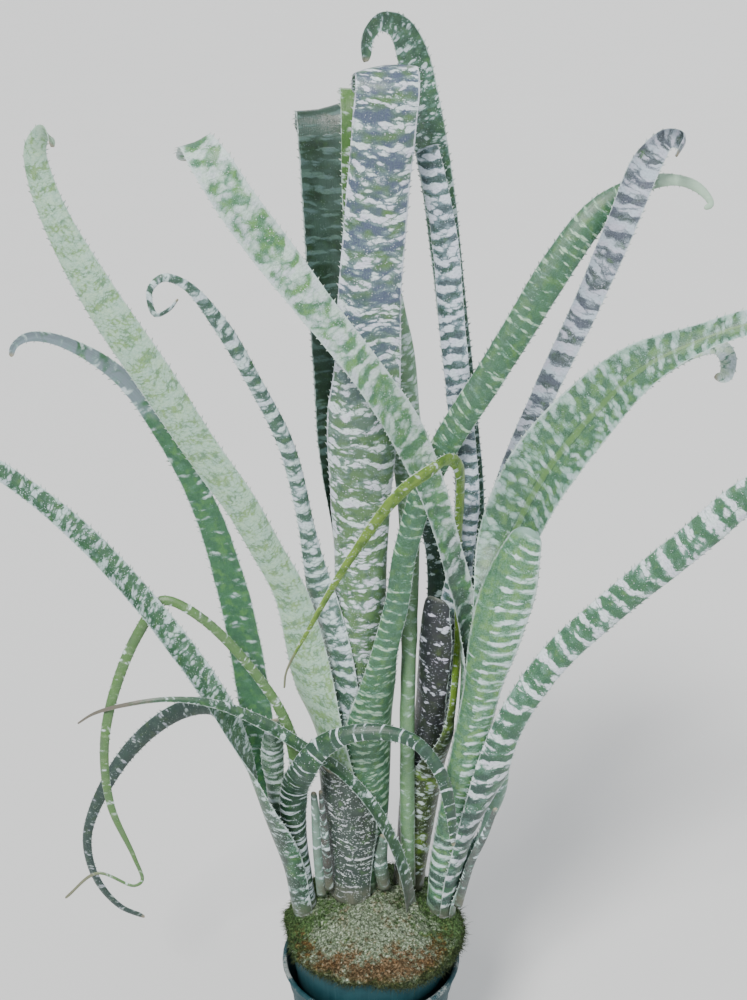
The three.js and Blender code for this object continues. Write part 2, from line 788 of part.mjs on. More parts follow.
// A leaf is a thin shell of rows. Its two faces are split into triangles alike, and teeth stand on the
// narrow wall between them.
function leafGeometry(leaf, shoot) {
  const { rows, start, length } = leafRows(leaf, shoot);
  const body = new Surface();
  const faces = [0.5, -0.5].map((level) => rows.map((row) => {
    return columns.map((u) => body.point(sectionPoint(row, u, level * leafThickness)));
  }));
  const last = columns.length - 1;
  const toothRuns = [];
  if (leaf.toothed !== false) {
    for (let run = start + toothEvery / 2; run < length - toothBase; run += toothEvery) {
      toothRuns.push(run);
    }
  }
  const margin = (i, column) => {
    const sign = Math.sign(columns[column]);
    const span = rows[i + 1].run - rows[i].run;
    const half = toothBase / 2 / span;
    const marks = toothRuns
      .filter((run) => run >= rows[i].run && run < rows[i + 1].run && half < 0.4)
      .map((run) => THREE.MathUtils.clamp((run - rows[i].run) / span, half + 0.05, 0.95 - half));
    const between = (face, t) => {
      const from = body.corner(faces[face][i][column]);
      return body.point(from.lerp(body.corner(faces[face][i + 1][column]), t));
    };
    const lines = [[], []];
    const walls = [];
    for (const t of marks) {
      const ends = [t - half, t + half].map((f) => [between(0, f), between(1, f)]);
      lines[0].push(ends[0][0], ends[1][0]);
      lines[1].push(ends[0][1], ends[1][1]);
      const tipOf = (row) => sectionPoint(row, sign * (1 + (2 * toothReach) / row.width), 0);
      const apex = tipOf(rows[i]).lerp(tipOf(rows[i + 1]), t + toothLean / span);
      walls.push(body.point(apex));
    }
    const inner = [faces[0][i][column], ...lines[0], faces[0][i + 1][column]];
    const outer = [faces[1][i][column], ...lines[1], faces[1][i + 1][column]];
    for (let k = 0; k + 1 < inner.length; k += 1) {
      const ring = [inner[k], inner[k + 1], outer[k + 1], outer[k]];
      if (sign > 0) {
        ring.reverse();
      }
      if (k % 2 === 1) {
        const apex = walls[(k - 1) / 2];
        ring.forEach((corner, n) => body.fan([corner, ring[(n + 1) % 4], apex]));
      } else {
        body.fan(ring);
      }
    }
    return lines;
  };
  for (let i = 0; i + 1 < rows.length; i += 1) {
    const left = margin(i, 0);
    const right = margin(i, last);
    faces.forEach((face, n) => {
      for (let j = 0; j < last; j += 1) {
        const [a, b, c, d] = [face[i][j], face[i][j + 1], face[i + 1][j + 1], face[i + 1][j]];
        const leftward = [b, c, d, ...(j === 0 ? left[n].toReversed() : []), a];
        const rightward = [a, b, ...(j === last - 1 ? right[n] : []), c, d];
        const ring = j < last / 2 ? leftward : rightward;
        body.fan(n === 0 ? ring : [ring[0], ...ring.slice(1).reverse()]);
      }
    });
  }
  for (let j = 0; j < last; j += 1) {
    body.fan([faces[0][0][j + 1], faces[0][0][j], faces[1][0][j], faces[1][0][j + 1]]);
    const end = rows.length - 1;
    body.fan([faces[0][end][j], faces[0][end][j + 1], faces[1][end][j + 1], faces[1][end][j]]);
  }
  return body.geometry();
}

// Holes in the moss, one for each shoot and each single strip
function rootHoles(tubes) {
  const holes = Object.entries(tubes).map(([name, tube]) => {
    const outermost = Math.max(...leaves.filter((leaf) => leaf.shoot === name).map((leaf) => leaf.ring));
    const radius = tube.radius(0, outermost) + shootClearance;
    return peg(tube.foot, tube.direction(0), radius, rootDepth + 1, 40, 16);
  });
  for (const { path } of strips) {
    const foot = new THREE.Vector3(...path[0]);
    const direction = new THREE.Vector3(...path[1]).sub(foot).normalize();
    holes.push(peg(foot, direction, path[0][3] / 2 + stripClearance, rootDepth + 1, 30, 10));
  }
  return holes;
}

function finish(colour, roughness) {
  return new THREE.MeshStandardMaterial({ color: colour, roughness, metalness: 0 });
}

const plant = new THREE.Group();

function add(name, geometry, material) {
  const mesh = new THREE.Mesh(geometry, material);
  mesh.name = name;
  plant.add(mesh);
}

const tubes = {};
for (const [name, shoot] of Object.entries(shoots)) {
  tubes[name] = new Shoot(shoot);
}

add("outer_pot", potGeometry(outerPot), finish("#2f6577", 0.5));
add("inner_pot", potGeometry(innerPot), finish("#2c6176", 0.5));
add("potting_mix", mixGeometry(), finish("#3b2a1e", 0.95));
add("moss", mossGeometry(rootHoles(tubes)), finish("#8f9478", 0.95));
for (const leaf of leaves) {
  add(leaf.name, leafGeometry(leaf, tubes[leaf.shoot]), finish(leaf.colour ?? "#7d9283", 0.55));
}
for (const strip of strips) {
  add(strip.name, leafGeometry(strip, null), finish(strip.colour, 0.7));
}

export default plant;
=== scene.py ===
import math

import bpy
import numpy as np
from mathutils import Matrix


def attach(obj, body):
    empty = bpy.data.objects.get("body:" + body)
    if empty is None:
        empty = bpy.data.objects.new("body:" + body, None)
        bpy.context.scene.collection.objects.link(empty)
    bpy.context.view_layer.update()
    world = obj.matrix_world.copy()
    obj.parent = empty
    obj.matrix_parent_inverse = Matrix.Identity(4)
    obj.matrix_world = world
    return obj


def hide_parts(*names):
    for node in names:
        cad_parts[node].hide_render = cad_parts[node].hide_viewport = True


# Billbergia rosea in two stacked nursery pots: the finished leaves, moss, mix and pots
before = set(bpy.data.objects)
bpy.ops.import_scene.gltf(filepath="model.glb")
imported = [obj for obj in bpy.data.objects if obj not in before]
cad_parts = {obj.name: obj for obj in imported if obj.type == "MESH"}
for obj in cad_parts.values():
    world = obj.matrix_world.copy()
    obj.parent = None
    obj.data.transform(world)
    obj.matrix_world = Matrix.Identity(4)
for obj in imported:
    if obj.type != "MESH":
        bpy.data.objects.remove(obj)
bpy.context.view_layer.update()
print("frame loaded,", len(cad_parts), "solids")

tau = 2 * math.pi
millimetre = 0.001  # in metres: shapes are worked out in millimetres


def ease(low, high, x):  # smooth step: 3tt - 2ttt, with t running from 0 at low to 1 at high
    t = np.clip((np.asarray(x, float) - low) / (high - low), 0, 1)
    return t * t * (3 - 2 * t)


def unit(v):  # each row divided by its length
    return v / np.maximum(np.linalg.norm(v, axis=-1, keepdims=True), 1e-9)


def cornerNumber(i, j, k, seed):  # fraction of a large sine of the corner's three whole numbers
    n = np.sin(i * 12.9898 + j * 78.233 + k * 37.719 + seed * 4.581) * 43758.5453
    return n - np.floor(n)


def softNoise(x, y, z=0.0, seed=0):  # value noise, 0 to 1: corner numbers blended by smooth steps
    x, y, z = np.broadcast_arrays(*(np.asarray(v, float) for v in (x, y, z)))
    i, j, k = np.floor(x), np.floor(y), np.floor(z)
    a, b, c = ease(0, 1, x - i), ease(0, 1, y - j), ease(0, 1, z - k)
    total = np.zeros(x.shape)
    for p in (0, 1):
        for q in (0, 1):
            for r in (0, 1):
                share = (a if p else 1 - a) * (b if q else 1 - b) * (c if r else 1 - c)
                total += share * cornerNumber(i + p, j + q, k + r, seed)
    return total


def scatter(count, seed):  # numbers from 0 to 1 for a row of small pieces, the same on each run
    return cornerNumber(np.arange(count), 3.0, 7.0, seed)


def meshPiece(name, points, quads, triangles, fields=None):  # arrays in millimetres become a smooth mesh
    points = np.asarray(points, float)
    quads = np.asarray(quads, int).reshape(-1, 4)
    triangles = np.asarray(triangles, int).reshape(-1, 3)
    fans = np.vstack([quads[:, [0, 1, 2]], quads[:, [0, 2, 3]], triangles])
    a, b, c = (points[fans[:, n]] for n in range(3))
    if np.einsum("ij,ij->i", a, np.cross(b, c)).sum() < 0:  # signed volume: faces point outwards
        quads, triangles = quads[:, ::-1], triangles[:, ::-1]
    mesh = bpy.data.meshes.new(name)
    mesh.vertices.add(len(points))
    mesh.vertices.foreach_set("co", (points * millimetre).astype(np.float32).ravel())
    corners = np.concatenate([quads.ravel(), triangles.ravel()])
    starts = np.concatenate([4 * np.arange(len(quads)), 4 * len(quads) + 3 * np.arange(len(triangles))])
    mesh.loops.add(len(corners))
    mesh.loops.foreach_set("vertex_index", corners.astype(np.int32))
    mesh.polygons.add(len(starts))
    mesh.polygons.foreach_set("loop_start", starts.astype(np.int32))
    mesh.polygons.foreach_set("use_smooth", np.ones(len(starts), bool))
    mesh.update(calc_edges=True)
    mesh.validate()
    for field, values in (fields or {}).items():
        layer = mesh.attributes.new(field, "FLOAT_VECTOR", "POINT")
        layer.data.foreach_set("vector", np.asarray(values, np.float32).ravel())
    piece = bpy.data.objects.new(name, mesh)
    bpy.context.scene.collection.objects.link(piece)
    return piece


def gridQuads(rows, columns):  # each cell's four corners, with the last column joined to the first
    r, c = np.meshgrid(np.arange(rows - 1), np.arange(columns), indexing="ij")
    d = (c + 1) % columns
    corners = (r * columns + c, r * columns + d, (r + 1) * columns + d, (r + 1) * columns + c)
    return np.stack(corners, -1).reshape(-1, 4)


def endFans(rows, columns):  # triangles from each end's ring to its middle, the two points after the grid
    k, total = np.arange(columns), rows * columns
    after, last = (k + 1) % columns, total - columns
    start = np.c_[after, k, np.full(columns, total)]
    return np.vstack([start, np.c_[last + k, last + after, np.full(columns, total + 1)]])


def between(x, known, values):  # each column of values, blended straight between the known places
    return np.stack([np.interp(x, known, column) for column in np.asarray(values).T], -1)


class Wire:  # a shader value; sums and products of wires add their Math nodes
    def __init__(self, board, socket):
        self.board, self.socket = board, socket

    def math(self, operation, *others):
        return self.board.add("ShaderNodeMath", {"operation": operation}, dict(enumerate((self, *others))))

    def flipped(self, operation, other):
        return self.board.add("ShaderNodeMath", {"operation": operation}, {0: other, 1: self})

    def __add__(self, other):
        return self.math("ADD", other)

    def __sub__(self, other):
        return self.math("SUBTRACT", other)

    def __rsub__(self, other):
        return self.flipped("SUBTRACT", other)

    def __mul__(self, other):
        return self.math("MULTIPLY", other)

    def __truediv__(self, other):
        return self.math("DIVIDE", other)

    def __rtruediv__(self, other):
        return self.flipped("DIVIDE", other)

    __radd__, __rmul__ = __add__, __mul__

    def step(self, low, high):  # 0 below low, 1 above high, smooth between
        sockets = {"Value": self, "From Min": low, "From Max": high}
        return self.board.add("ShaderNodeMapRange", {"interpolation_type": "SMOOTHSTEP"}, sockets)

    def size(self):  # the value without its sign
        return self.math("ABSOLUTE")


class Board:  # one material and its nodes
    def __init__(self, name):
        self.material = bpy.data.materials.new(name)
        self.material.use_nodes = True
        self.tree = self.material.node_tree
        self.shader = self.tree.nodes["Principled BSDF"]

    def add(self, kind, settings=None, sockets=None, output=0):  # settings come first, then values and links
        node = self.tree.nodes.new(kind)
        for key, value in (settings or {}).items():
            if key == "stops":
                for n, (place, colour) in enumerate(value):
                    stop = node.color_ramp.elements[n] if n < 2 else node.color_ramp.elements.new(place)
                    stop.position, stop.color = place, (*colour, 1)
            else:
                setattr(node, key, value)
        for key, value in (sockets or {}).items():
            self.feed(node.inputs[key], value)
        return Wire(self, node.outputs[output])

    def feed(self, socket, value):
        if isinstance(value, Wire):
            self.tree.links.new(value.socket, socket)
        elif isinstance(value, tuple) and len(value) == 3 and socket.type == "RGBA":
            socket.default_value = (*value, 1)
        else:
            socket.default_value = value

    def finish(self, **sockets):  # words of the shader's sockets, with _ for a space
        for key, value in sockets.items():
            self.feed(self.shader.inputs[key.replace("_", " ")], value)
        return self.material

    def parts(self, vector):  # the three numbers of a vector
        return [self.add("ShaderNodeSeparateXYZ", {}, {0: vector}, output=n) for n in range(3)]

    def field(self, name):  # a piece's own attribute
        return self.parts(self.add("ShaderNodeAttribute", {"attribute_name": name}, output="Vector"))

    def objectPlace(self):  # Object coordinates in millimetres
        raw = self.add("ShaderNodeTexCoord", output="Object")
        scale = {0: raw, "Scale": 1 / millimetre}
        return self.parts(self.add("ShaderNodeVectorMath", {"operation": "SCALE"}, scale))

    def around(self, x, y, z=0.0):  # sockets of a texture with one feature a unit
        place = self.add("ShaderNodeCombineXYZ", {}, {0: x, 1: y, 2: z})
        return {"Vector": place, "Scale": 1.0}

    def noise(self, x, y, z=0.0, detail=2.0, rough=0.5):  # 0 to 1
        sockets = {**self.around(x, y, z), "Detail": detail, "Roughness": rough}
        return self.add("ShaderNodeTexNoise", {}, sockets)

    def cells(self, x, y, z=0.0, output="Distance"):  # distance to the nearest of the scattered points
        return self.add("ShaderNodeTexVoronoi", {}, self.around(x, y, z), output)

    def ownNumber(self, x, y, z=0.0):  # one number from 0 to 1 for each cell
        return self.add("ShaderNodeSeparateColor", {}, {0: self.cells(x, y, z, "Color")})

    def mix(self, share, low, high):  # colours
        return self.add("ShaderNodeMix", {"data_type": "RGBA"}, {"Factor": share, 6: low, 7: high}, 2)

    def ramp(self, share, stops):
        return self.add("ShaderNodeValToRGB", {"stops": stops}, {0: share})

    def bump(self, height, strength, distance):
        sockets = {"Height": height, "Strength": strength, "Distance": distance}
        return self.add("ShaderNodeBump", {}, sockets)


# Each shoot is a tube of nested sheaths: its radii at the moss and above, how far up it widens, its axis
shoots = {
    "central": {"radii": (10, 18), "grow": 90, "axis": [
        (-13, 18, 196), (-12, 21, 241), (-11, 22, 281), (-9, 22, 377), (-8, 22, 467), (-7, 22, 552),
        (-6, 22, 616),
    ]},
    "rear": {"radii": (6, 9), "grow": 90, "axis": [
        (32, 32, 194), (37, 38, 239), (42, 37, 290), (54, 34, 370), (61, 32, 426), (63, 30, 480),
    ]},
    "right": {"radii": (5, 8), "grow": 70, "axis": [
        (58, 12, 178), (61, 10, 214), (67, 9, 260), (76, 6, 330), (82, 3, 397), (87, 0, 452), (93, -2, 495),
    ]},
    "left": {"radii": (3, 4), "grow": 60, "axis": [
        (-55, 9, 180), (-61, 10, 219), (-63, 9, 260), (-65, 8, 295), (-66, 7, 320),
    ]},
}

bladeRules = {
    "sheathHeights": (-5, 15, 45, 75, 110, 150, 200, 250, 300),
    "wrap": math.radians(72),  # half of the arc that a sheath covers
    "ringGap": 1.6,
    "rootDepth": 5,
    "thickness": 0.95,
    "thickShare": 0.7,  # at most this share of the width
    "tipWidth": 1.4,
    "steps": 24,  # of the course, from knot to knot
    "rowEvery": 2.3,
    "tipRows": 12,  # one a millimetre
    "columns": 17,
    "formOver": 60,  # ripple and groove come over this length
    "broad": 20,  # width from which a blade has all of both
    "ripple": 0.5,  # at the margins, in mm
    "rippleEvery": 17,
    "groove": 0.25,  # along the midrib, in mm
    "grooveShare": 0.1,  # its half width, as a share of the blade's
}

spineRules = {  # in mm, but for the shares of the sheath without spines and of the width at which they stand
    "bare": 12, "bareShare": 0.35, "every": 6.0, "margin": 0.985, "foot": 0.8, "half": 0.18, "lean": 1.3,
    "reach": 2.1, "broad": 14,
}


def splineThrough(knots, steps):  # Catmull-Rom cubics, their knots spaced by the root of their distances
    knots = np.asarray(knots, float)
    k = np.vstack([2 * knots[0] - knots[1], knots, 2 * knots[-1] - knots[-2]])
    a, b, c, d = k[:-3], k[1:-2], k[2:-1], k[3:]
    pairs = ((a, b), (b, c), (c, d))
    ab, bc, cd = (np.sqrt(np.linalg.norm((q - p)[:, :3], axis=1))[:, None] for p, q in pairs)
    leave = ((b - a) / ab - (c - a) / (ab + bc) + (c - b) / bc) * bc
    arrive = ((c - b) / bc - (d - b) / (bc + cd) + (d - c) / cd) * bc
    t = (np.arange(steps) / steps)[None, :, None]
    b, c, leave, arrive = (v[:, None, :] for v in (b, c, leave, arrive))
    curve = b + leave * (t - 2 * t**2 + t**3) + arrive * (t**3 - t**2) + (c - b) * (3 * t**2 - 2 * t**3)
    return np.vstack([curve.reshape(-1, k.shape[1]), knots[-1:]])


def shootCentre(shoot, height):  # the axis at each height above the shoot's foot, straight on below it
    line = splineThrough(shoot["axis"], 12)
    z = line[0, 2] + np.asarray(height, float)
    low = (line[1] - line[0]) / (line[1] - line[0])[2]
    inside = np.c_[between(z, line[:, 2], line[:, :2]), z]
    below = line[0] + low * (z - line[0, 2])[:, None]
    return np.where((z < line[0, 2])[:, None], below, inside)


def sheathKnots(leaf):  # midrib's point, arc width, direction of growth and way to the axis at each height
    shoot = shoots[leaf["shoot"]]
    heights = np.array([h for h in bladeRules["sheathHeights"] if h <= leaf["rise"]], float)
    along = unit(shootCentre(shoot, heights + 4) - shootCentre(shoot, heights - 4))
    turn = math.radians(leaf["azimuth"])
    out = np.array([math.cos(turn), math.sin(turn), 0])
    inward = unit(along * (along @ out)[:, None] - out)
    thin, thick = shoot["radii"]
    radius = thin + (thick - thin) * ease(0, shoot["grow"], heights)
    radius = radius + leaf["ring"] * bladeRules["ringGap"]
    spot = shootCentre(shoot, heights) - inward * radius[:, None]
    return np.c_[spot, 2 * bladeRules["wrap"] * radius], along, inward


def bladeTrack(leaf):  # midrib, directions, width and half-angle of the gutter section, at many runs
    free = np.array(leaf["path"], float)
    steps = bladeRules["steps"]
    sheathed = "shoot" in leaf
    if sheathed:
        knots, grow, inward = sheathKnots(leaf)
    else:
        knots = free[:1] + np.r_[unit(free[0, :3] - free[1, :3]) * bladeRules["rootDepth"], 0]
    leave = (len(knots) - 1) * steps
    samples = splineThrough(np.vstack([knots, free]), steps)
    spot = samples[:, :3]
    run = np.r_[0, np.cumsum(np.linalg.norm(np.diff(spot, axis=0), axis=1))]
    start, length = run[leave], run[-1]
    index = np.arange(len(spot))
    tangent = unit(spot[np.minimum(index + 1, index[-1])] - spot[np.maximum(index - 1, 0)])
    normal = np.zeros_like(spot)
    if sheathed:
        share, base = np.arange(leave + 1) / steps, np.arange(len(knots))
        tangent[:leave] = unit(between(share, base, grow))[:leave]
        normal[: leave + 1] = between(share, base, inward)
    else:
        normal[0] = leaf["inward"]
    ahead, low = tangent[: leave + 1], normal[: leave + 1]
    normal[: leave + 1] = unit(low - ahead * np.sum(low * ahead, 1, keepdims=True))
    for n in range(leave + 1, len(spot)):  # carried up the blade without turning about it
        normal[n] = unit(normal[n - 1] - tangent[n] * (normal[n - 1] @ tangent[n]))
    rows = np.linspace(0, length, int(length / bladeRules["rowEvery"]))
    rows = np.unique(np.r_[rows, length - np.arange(bladeRules["tipRows"])])
    tangent, normal = unit(between(rows, run, tangent)), unit(between(rows, run, normal))
    freed = lambda reach: ease(start, start + reach, rows) if sheathed else np.ones(len(rows))
    twist = math.radians(leaf["twist"]) * freed(leaf["twistOver"])
    side = np.cross(tangent, normal)
    up = unit(normal * np.cos(twist)[:, None] + side * np.sin(twist)[:, None])
    channel, curl = leaf["channel"], leaf["curl"]
    flatter = ease(length - curl, length - 0.35 * curl, rows)
    blade = channel + (leaf.get("flat", channel) - channel) * flatter
    ending = np.clip((rows - length + leaf["tip"]) / leaf["tip"], 0, 1)
    width = np.interp(rows, run, samples[:, 3]) * np.sqrt(1 - ending**2) + bladeRules["tipWidth"] * ending
    return {
        "run": rows, "start": start, "length": length,
        "spot": between(rows, run, spot), "up": up, "side": np.cross(tangent, up),
        "angle": bladeRules["wrap"] + (blade - bladeRules["wrap"]) * freed(leaf["open"]),
        "width": np.maximum(width, bladeRules["tipWidth"]),
    }


def trackAt(track, runs):  # the track's values between its rows
    made = {key: between(runs, track["run"], track[key]) for key in ("spot", "up", "side")}
    for key in ("angle", "width"):
        made[key] = np.interp(runs, track["run"], track[key])
    return made


def sectionPoint(track, share, depth):  # arc of a circle: share, -1 to 1, across it and depth off its middle
    radius = track["width"] / (2 * track["angle"])
    bend = share * track["angle"]
    across = (radius - depth) * np.sin(bend)
    rise = radius - (radius - depth) * np.cos(bend)
    return track["spot"] + track["side"] * across[:, None] + track["up"] * rise[:, None]


def buildLeaf(leaf, seed):  # both faces as one closed loop of columns, and a row of spines on each margin
    track = bladeTrack(leaf)
    run, length, width, start = (track[key] for key in ("run", "length", "width", "start"))
    rows, count, rootDepth = len(run), bladeRules["columns"], bladeRules["rootDepth"]
    inner = np.sin(np.linspace(-0.5, 0.5, count) * math.pi)
    share = np.concatenate([inner, inner[::-1][1:-1]])
    level = np.concatenate([np.ones(count), -np.ones(count - 2)])
    level = np.where(np.abs(share) > 0.999, 0, level)  # 1 on the hollow side, -1 outside, 0 at the margins
    thick = np.minimum(bladeRules["thickness"], bladeRules["thickShare"] * width)
    formed = start + bladeRules["formOver"]
    free = ease(start if "shoot" in leaf else 20, formed, run)
    broad = np.minimum(width / bladeRules["broad"], 1)
    rings = []
    for u, face in zip(share, level):
        sway = softNoise(run / bladeRules["rippleEvery"] + 40 * (u > 0), seed * 3.1) - 0.5
        ripple = bladeRules["ripple"] * free * broad * np.abs(u) ** 3 * sway * 2
        groove = -bladeRules["groove"] * free * np.exp(-((u / bladeRules["grooveShare"]) ** 2))
        body = 0.5 * thick * (1 - 0.75 * np.abs(u) ** 4) * face
        rings.append(sectionPoint(track, np.full(rows, u), body + ripple + groove * broad))
    points = np.stack(rings, 1).reshape(-1, 3)
    loop = len(share)
    points = np.vstack([points, points[:loop].mean(0), points[-loop:].mean(0)])
    caps = endFans(rows, loop)
    across = (share[None, :] * width[:, None] / 2).ravel()
    place = np.c_[across, np.repeat(run - rootDepth, loop), np.tile(level, rows)]
    place = np.vstack([place, [[0, -rootDepth, 0], [0, length, 0]]])
    shape = np.c_[np.tile(share, rows), np.repeat(length - run, loop), np.zeros(rows * loop)]
    shape = np.vstack([shape, [[0, length, 0], [0, 0, 0]]])
    if leaf["spines"]:
        spines = spineRows(track, leaf, seed, len(points))
        blade = (points, caps, place, shape)
        points, caps, place, shape = (np.vstack(pair) for pair in zip(blade, spines))
    fields = {"bladePlace": place, "bladeShape": shape}
    return meshPiece(leaf["name"] + "_blade", points, gridQuads(rows, loop), caps, fields)


def spineRows(track, leaf, seed, first):  # pyramids that lean up the blade, on four corners in the margin
    every, foot, half = (spineRules[key] for key in ("every", "foot", "half"))
    low = track["start"] * spineRules["bareShare"] + spineRules["bare"]
    high = track["length"] - leaf["bareTip"]
    count = max(int((high - low) / every), 1)
    made = []
    for sign in (-1, 1):
        runs = low + (np.arange(count) + 0.2 + 0.6 * scatter(count, seed + sign * 0.37)) * every
        size = 0.6 + 0.55 * scatter(count, seed * 1.7 + sign)
        size = size * np.clip(trackAt(track, runs)["width"] / spineRules["broad"], 0.45, 1)
        corners = []
        for shift, depth in ((-foot, half), (foot, half), (foot, -half), (-foot, -half)):
            spot = trackAt(track, runs + shift * size)
            corners.append(sectionPoint(spot, spineRules["margin"] * sign, depth))
        tip = trackAt(track, runs + spineRules["lean"] * size)
        corners.append(sectionPoint(tip, sign * (1 + 2 * spineRules["reach"] * size / tip["width"]), 0.0))
        sides = np.array([[1, 0, 4], [2, 1, 4], [3, 2, 4], [0, 3, 4]])[:, ::sign]
        faces = first + 5 * np.arange(count)[:, None, None] + sides
        first += 5 * count
        place = np.c_[np.repeat(sign * tip["width"] / 2, 5), np.repeat(runs, 5), np.zeros(5 * count)]
        toTip = np.repeat(track["length"] - runs, 5)
        shape = np.c_[np.full(5 * count, sign), toTip, np.tile([0, 0, 0, 0, 1], count)]
        made.append((np.stack(corners, 1).reshape(-1, 3), faces.reshape(-1, 3), place, shape))
    return [np.vstack(part) for part in zip(*made)]


# What a side of a leaf can have: two greens, a warm one and how much of it shows; scurf: two whites, the
# period of its cross bands in mm, how regular they are and how far they bow, the share it covers at the foot
# and at the tip and its extra share at the margins; a blotch's size in mm and how soft its edge is; specks;
# a thin veil of haze between the blotches; a colour blended in at the foot and at the tip, which is the
# leaf's own on most leaves, painted shade towards the foot on some and a painted highlight towards the tip
# on two;
# and a strip that stays bare
plainSide = {
    "green": (0.030, 0.090, 0.038), "deep": (0.013, 0.046, 0.022), "warm": (0.065, 0.155, 0.035),
    "glow": 0.2, "scurf": (0.59, 0.73, 0.71), "scurf2": (0.60, 0.67, 0.74), "period": 11, "regular": 0.45,
    "bow": 1.5, "cover": (0.25, 0.29), "edge": 0.12, "wide": 6.5, "tall": 3.2, "soft": 0.2, "specks": 0.4,
    "veil": 0.75, "haze": (0.14, 0.28, 0.23), "tintAndPaintedLight": (0.06, 0.08, 0.11), "tinted": (0.0, 0.15),
    "bare": (2.0, 3.0),
}

# What a whole leaf can have, in mm: its twist in degrees and the length over which it comes, the lengths of
# its opening, its flatter end, its rounded tip and the end without spines, and where the looks of the foot
# become those of the tip; then its foot, dry tip and rim, a share of the width, with their colours; the
# foot's colour is partly the base's own and partly painted shade where the leaf comes out of the sheath
plainLeaf = {
    "twist": 0, "twistOver": 160, "open": 60, "curl": 90, "tip": 12, "bareTip": 6, "spines": True,
    "span": (60, 420), "rim": 0.07, "rimColour": (0.50, 0.60, 0.58), "foot": 9, "dryTip": 0.5,
    "footTintAndShade": (0.10, 0.105, 0.075), "tipColour": (0.30, 0.27, 0.19), "spineColour": (0.42, 0.46, 0.38),
}

leafCoat = {
    "rough": 0.38, "scurfRough": 0.26, "shine": 0.45, "bump": 0.55, "depth": 0.0006,
    # line: the midrib's thin dark lines, painted shade in its groove
    "line": (0.015, 0.035, 0.015),
}


def scurfSide(board, look, across, along, share, rise, seed):  # colour, cover and streaks of one side
    look = {**plainSide, **look}
    noise, period, regular, soft = board.noise, look["period"], look["regular"], look["soft"]
    drift = noise(across / 42 + seed, along / 55, seed, 1.0)
    jitter = noise(across / 8, along / 6, seed + 3.0, 2.0, 0.6) - 0.5
    v = along - share * share * look["bow"] + (drift - 0.5) * (1.9 * period) + jitter * (0.45 * period)
    wave = (v * (tau / period)).math("SINE")
    weight = noise(across / 50, v / (1.5 * period), seed + 4.0, 1.0).step(0.32, 0.62) * 0.85 + 0.3
    clump = noise(across / 20 + seed, v / (0.9 * period), seed + 5.0, 2.0, 0.6) - 0.5
    ragged = noise(across / 0.9, along / 0.7, seed, 2.0, 0.6) - 0.5
    low, high = look["cover"]
    level = wave * weight * (0.36 * regular) + clump * (1.25 - 0.6 * regular)
    level = level + rise * ((high - low) * 0.8) + (0.06 + 0.8 * low)
    level = level + share.size().step(0.55, 1.0) * (look["edge"] * 0.8)
    bareFrom, bareTo = look["bare"]
    bare = share.step(bareFrom - 0.06, bareFrom + 0.06) * rise
    bare = bare * (1 - share.step(bareTo - 0.06, bareTo + 0.06))
    level = level - bare * 0.4
    warpX, warpY = jitter * 0.9, ragged * 0.22
    scaleX, scaleY = across / look["wide"] + warpX + seed, v / look["tall"] + warpY
    scale, own = board.cells(scaleX, scaleY), board.ownNumber(scaleX, scaleY)
    blur = 0.28 * soft
    cover = (level + (own - 0.5) * 0.34 - scale + ragged * 0.2).step(-0.03 - blur, 0.06 + blur)
    fine = board.cells(across / 1.9 + seed + warpX, along / 1.5 + warpY, 4.0)
    pick = noise(across / 8, along / 6 + seed, 8.0, 2.0) * 0.55 + level * 0.2
    specks = (pick + (look["specks"] * 0.3 - 0.26) - fine + ragged * 0.1).step(-0.02, 0.07) * (1 - bare)
    tone = noise(across / 2.4, along / 1.4 + seed, 8.0, 3.0, 0.65).step(0.25, 0.62) * 0.45
    cover = (cover * (tone + 0.55 - 0.25 * soft)).math("MAXIMUM", specks * 0.62)
    mottle = noise(across / 6.5, along / 8, seed + 7.0, 3.0, 0.6)
    streak = noise(across / 0.55 + seed, along / 26, seed, 2.0)
    green = board.mix(mottle.step(0.3, 0.7), look["deep"], look["green"])
    warm = (noise(across / 7 + seed, along / 8, 11.0, 2.0) + (look["glow"] - 0.72)).step(0.0, 0.25)
    green = board.mix(warm, green, look["warm"])
    tintLow, tintHigh = look["tinted"]
    patchy = noise(across / 18, along / 12, seed + 9.0, 2.0).step(0.32, 0.6)
    # colour blended in from foot to tip: the leaf's own on most leaves, painted shade towards the foot on
    # some, a painted highlight near the tip on two
    green = board.mix((rise * (tintHigh - tintLow) + tintLow) * patchy, green, look["tintAndPaintedLight"])
    green = board.mix((1 - streak.step(0.3, 0.6)) * 0.25, green, look["deep"])
    hue = noise(across / 12, along / 9 + seed, 15.0, 2.0).step(0.35, 0.65)
    white = board.mix(hue, look["scurf"], look["scurf2"])
    haze = (level + 0.2 - scale + ragged * 0.5).step(-0.2, 0.25) * 0.6 + (ragged + 0.5).step(0.3, 0.75) * 0.4
    green = board.mix(haze * look["veil"], green, look["haze"])
    return board.mix(cover * 0.97, green, white), cover, streak


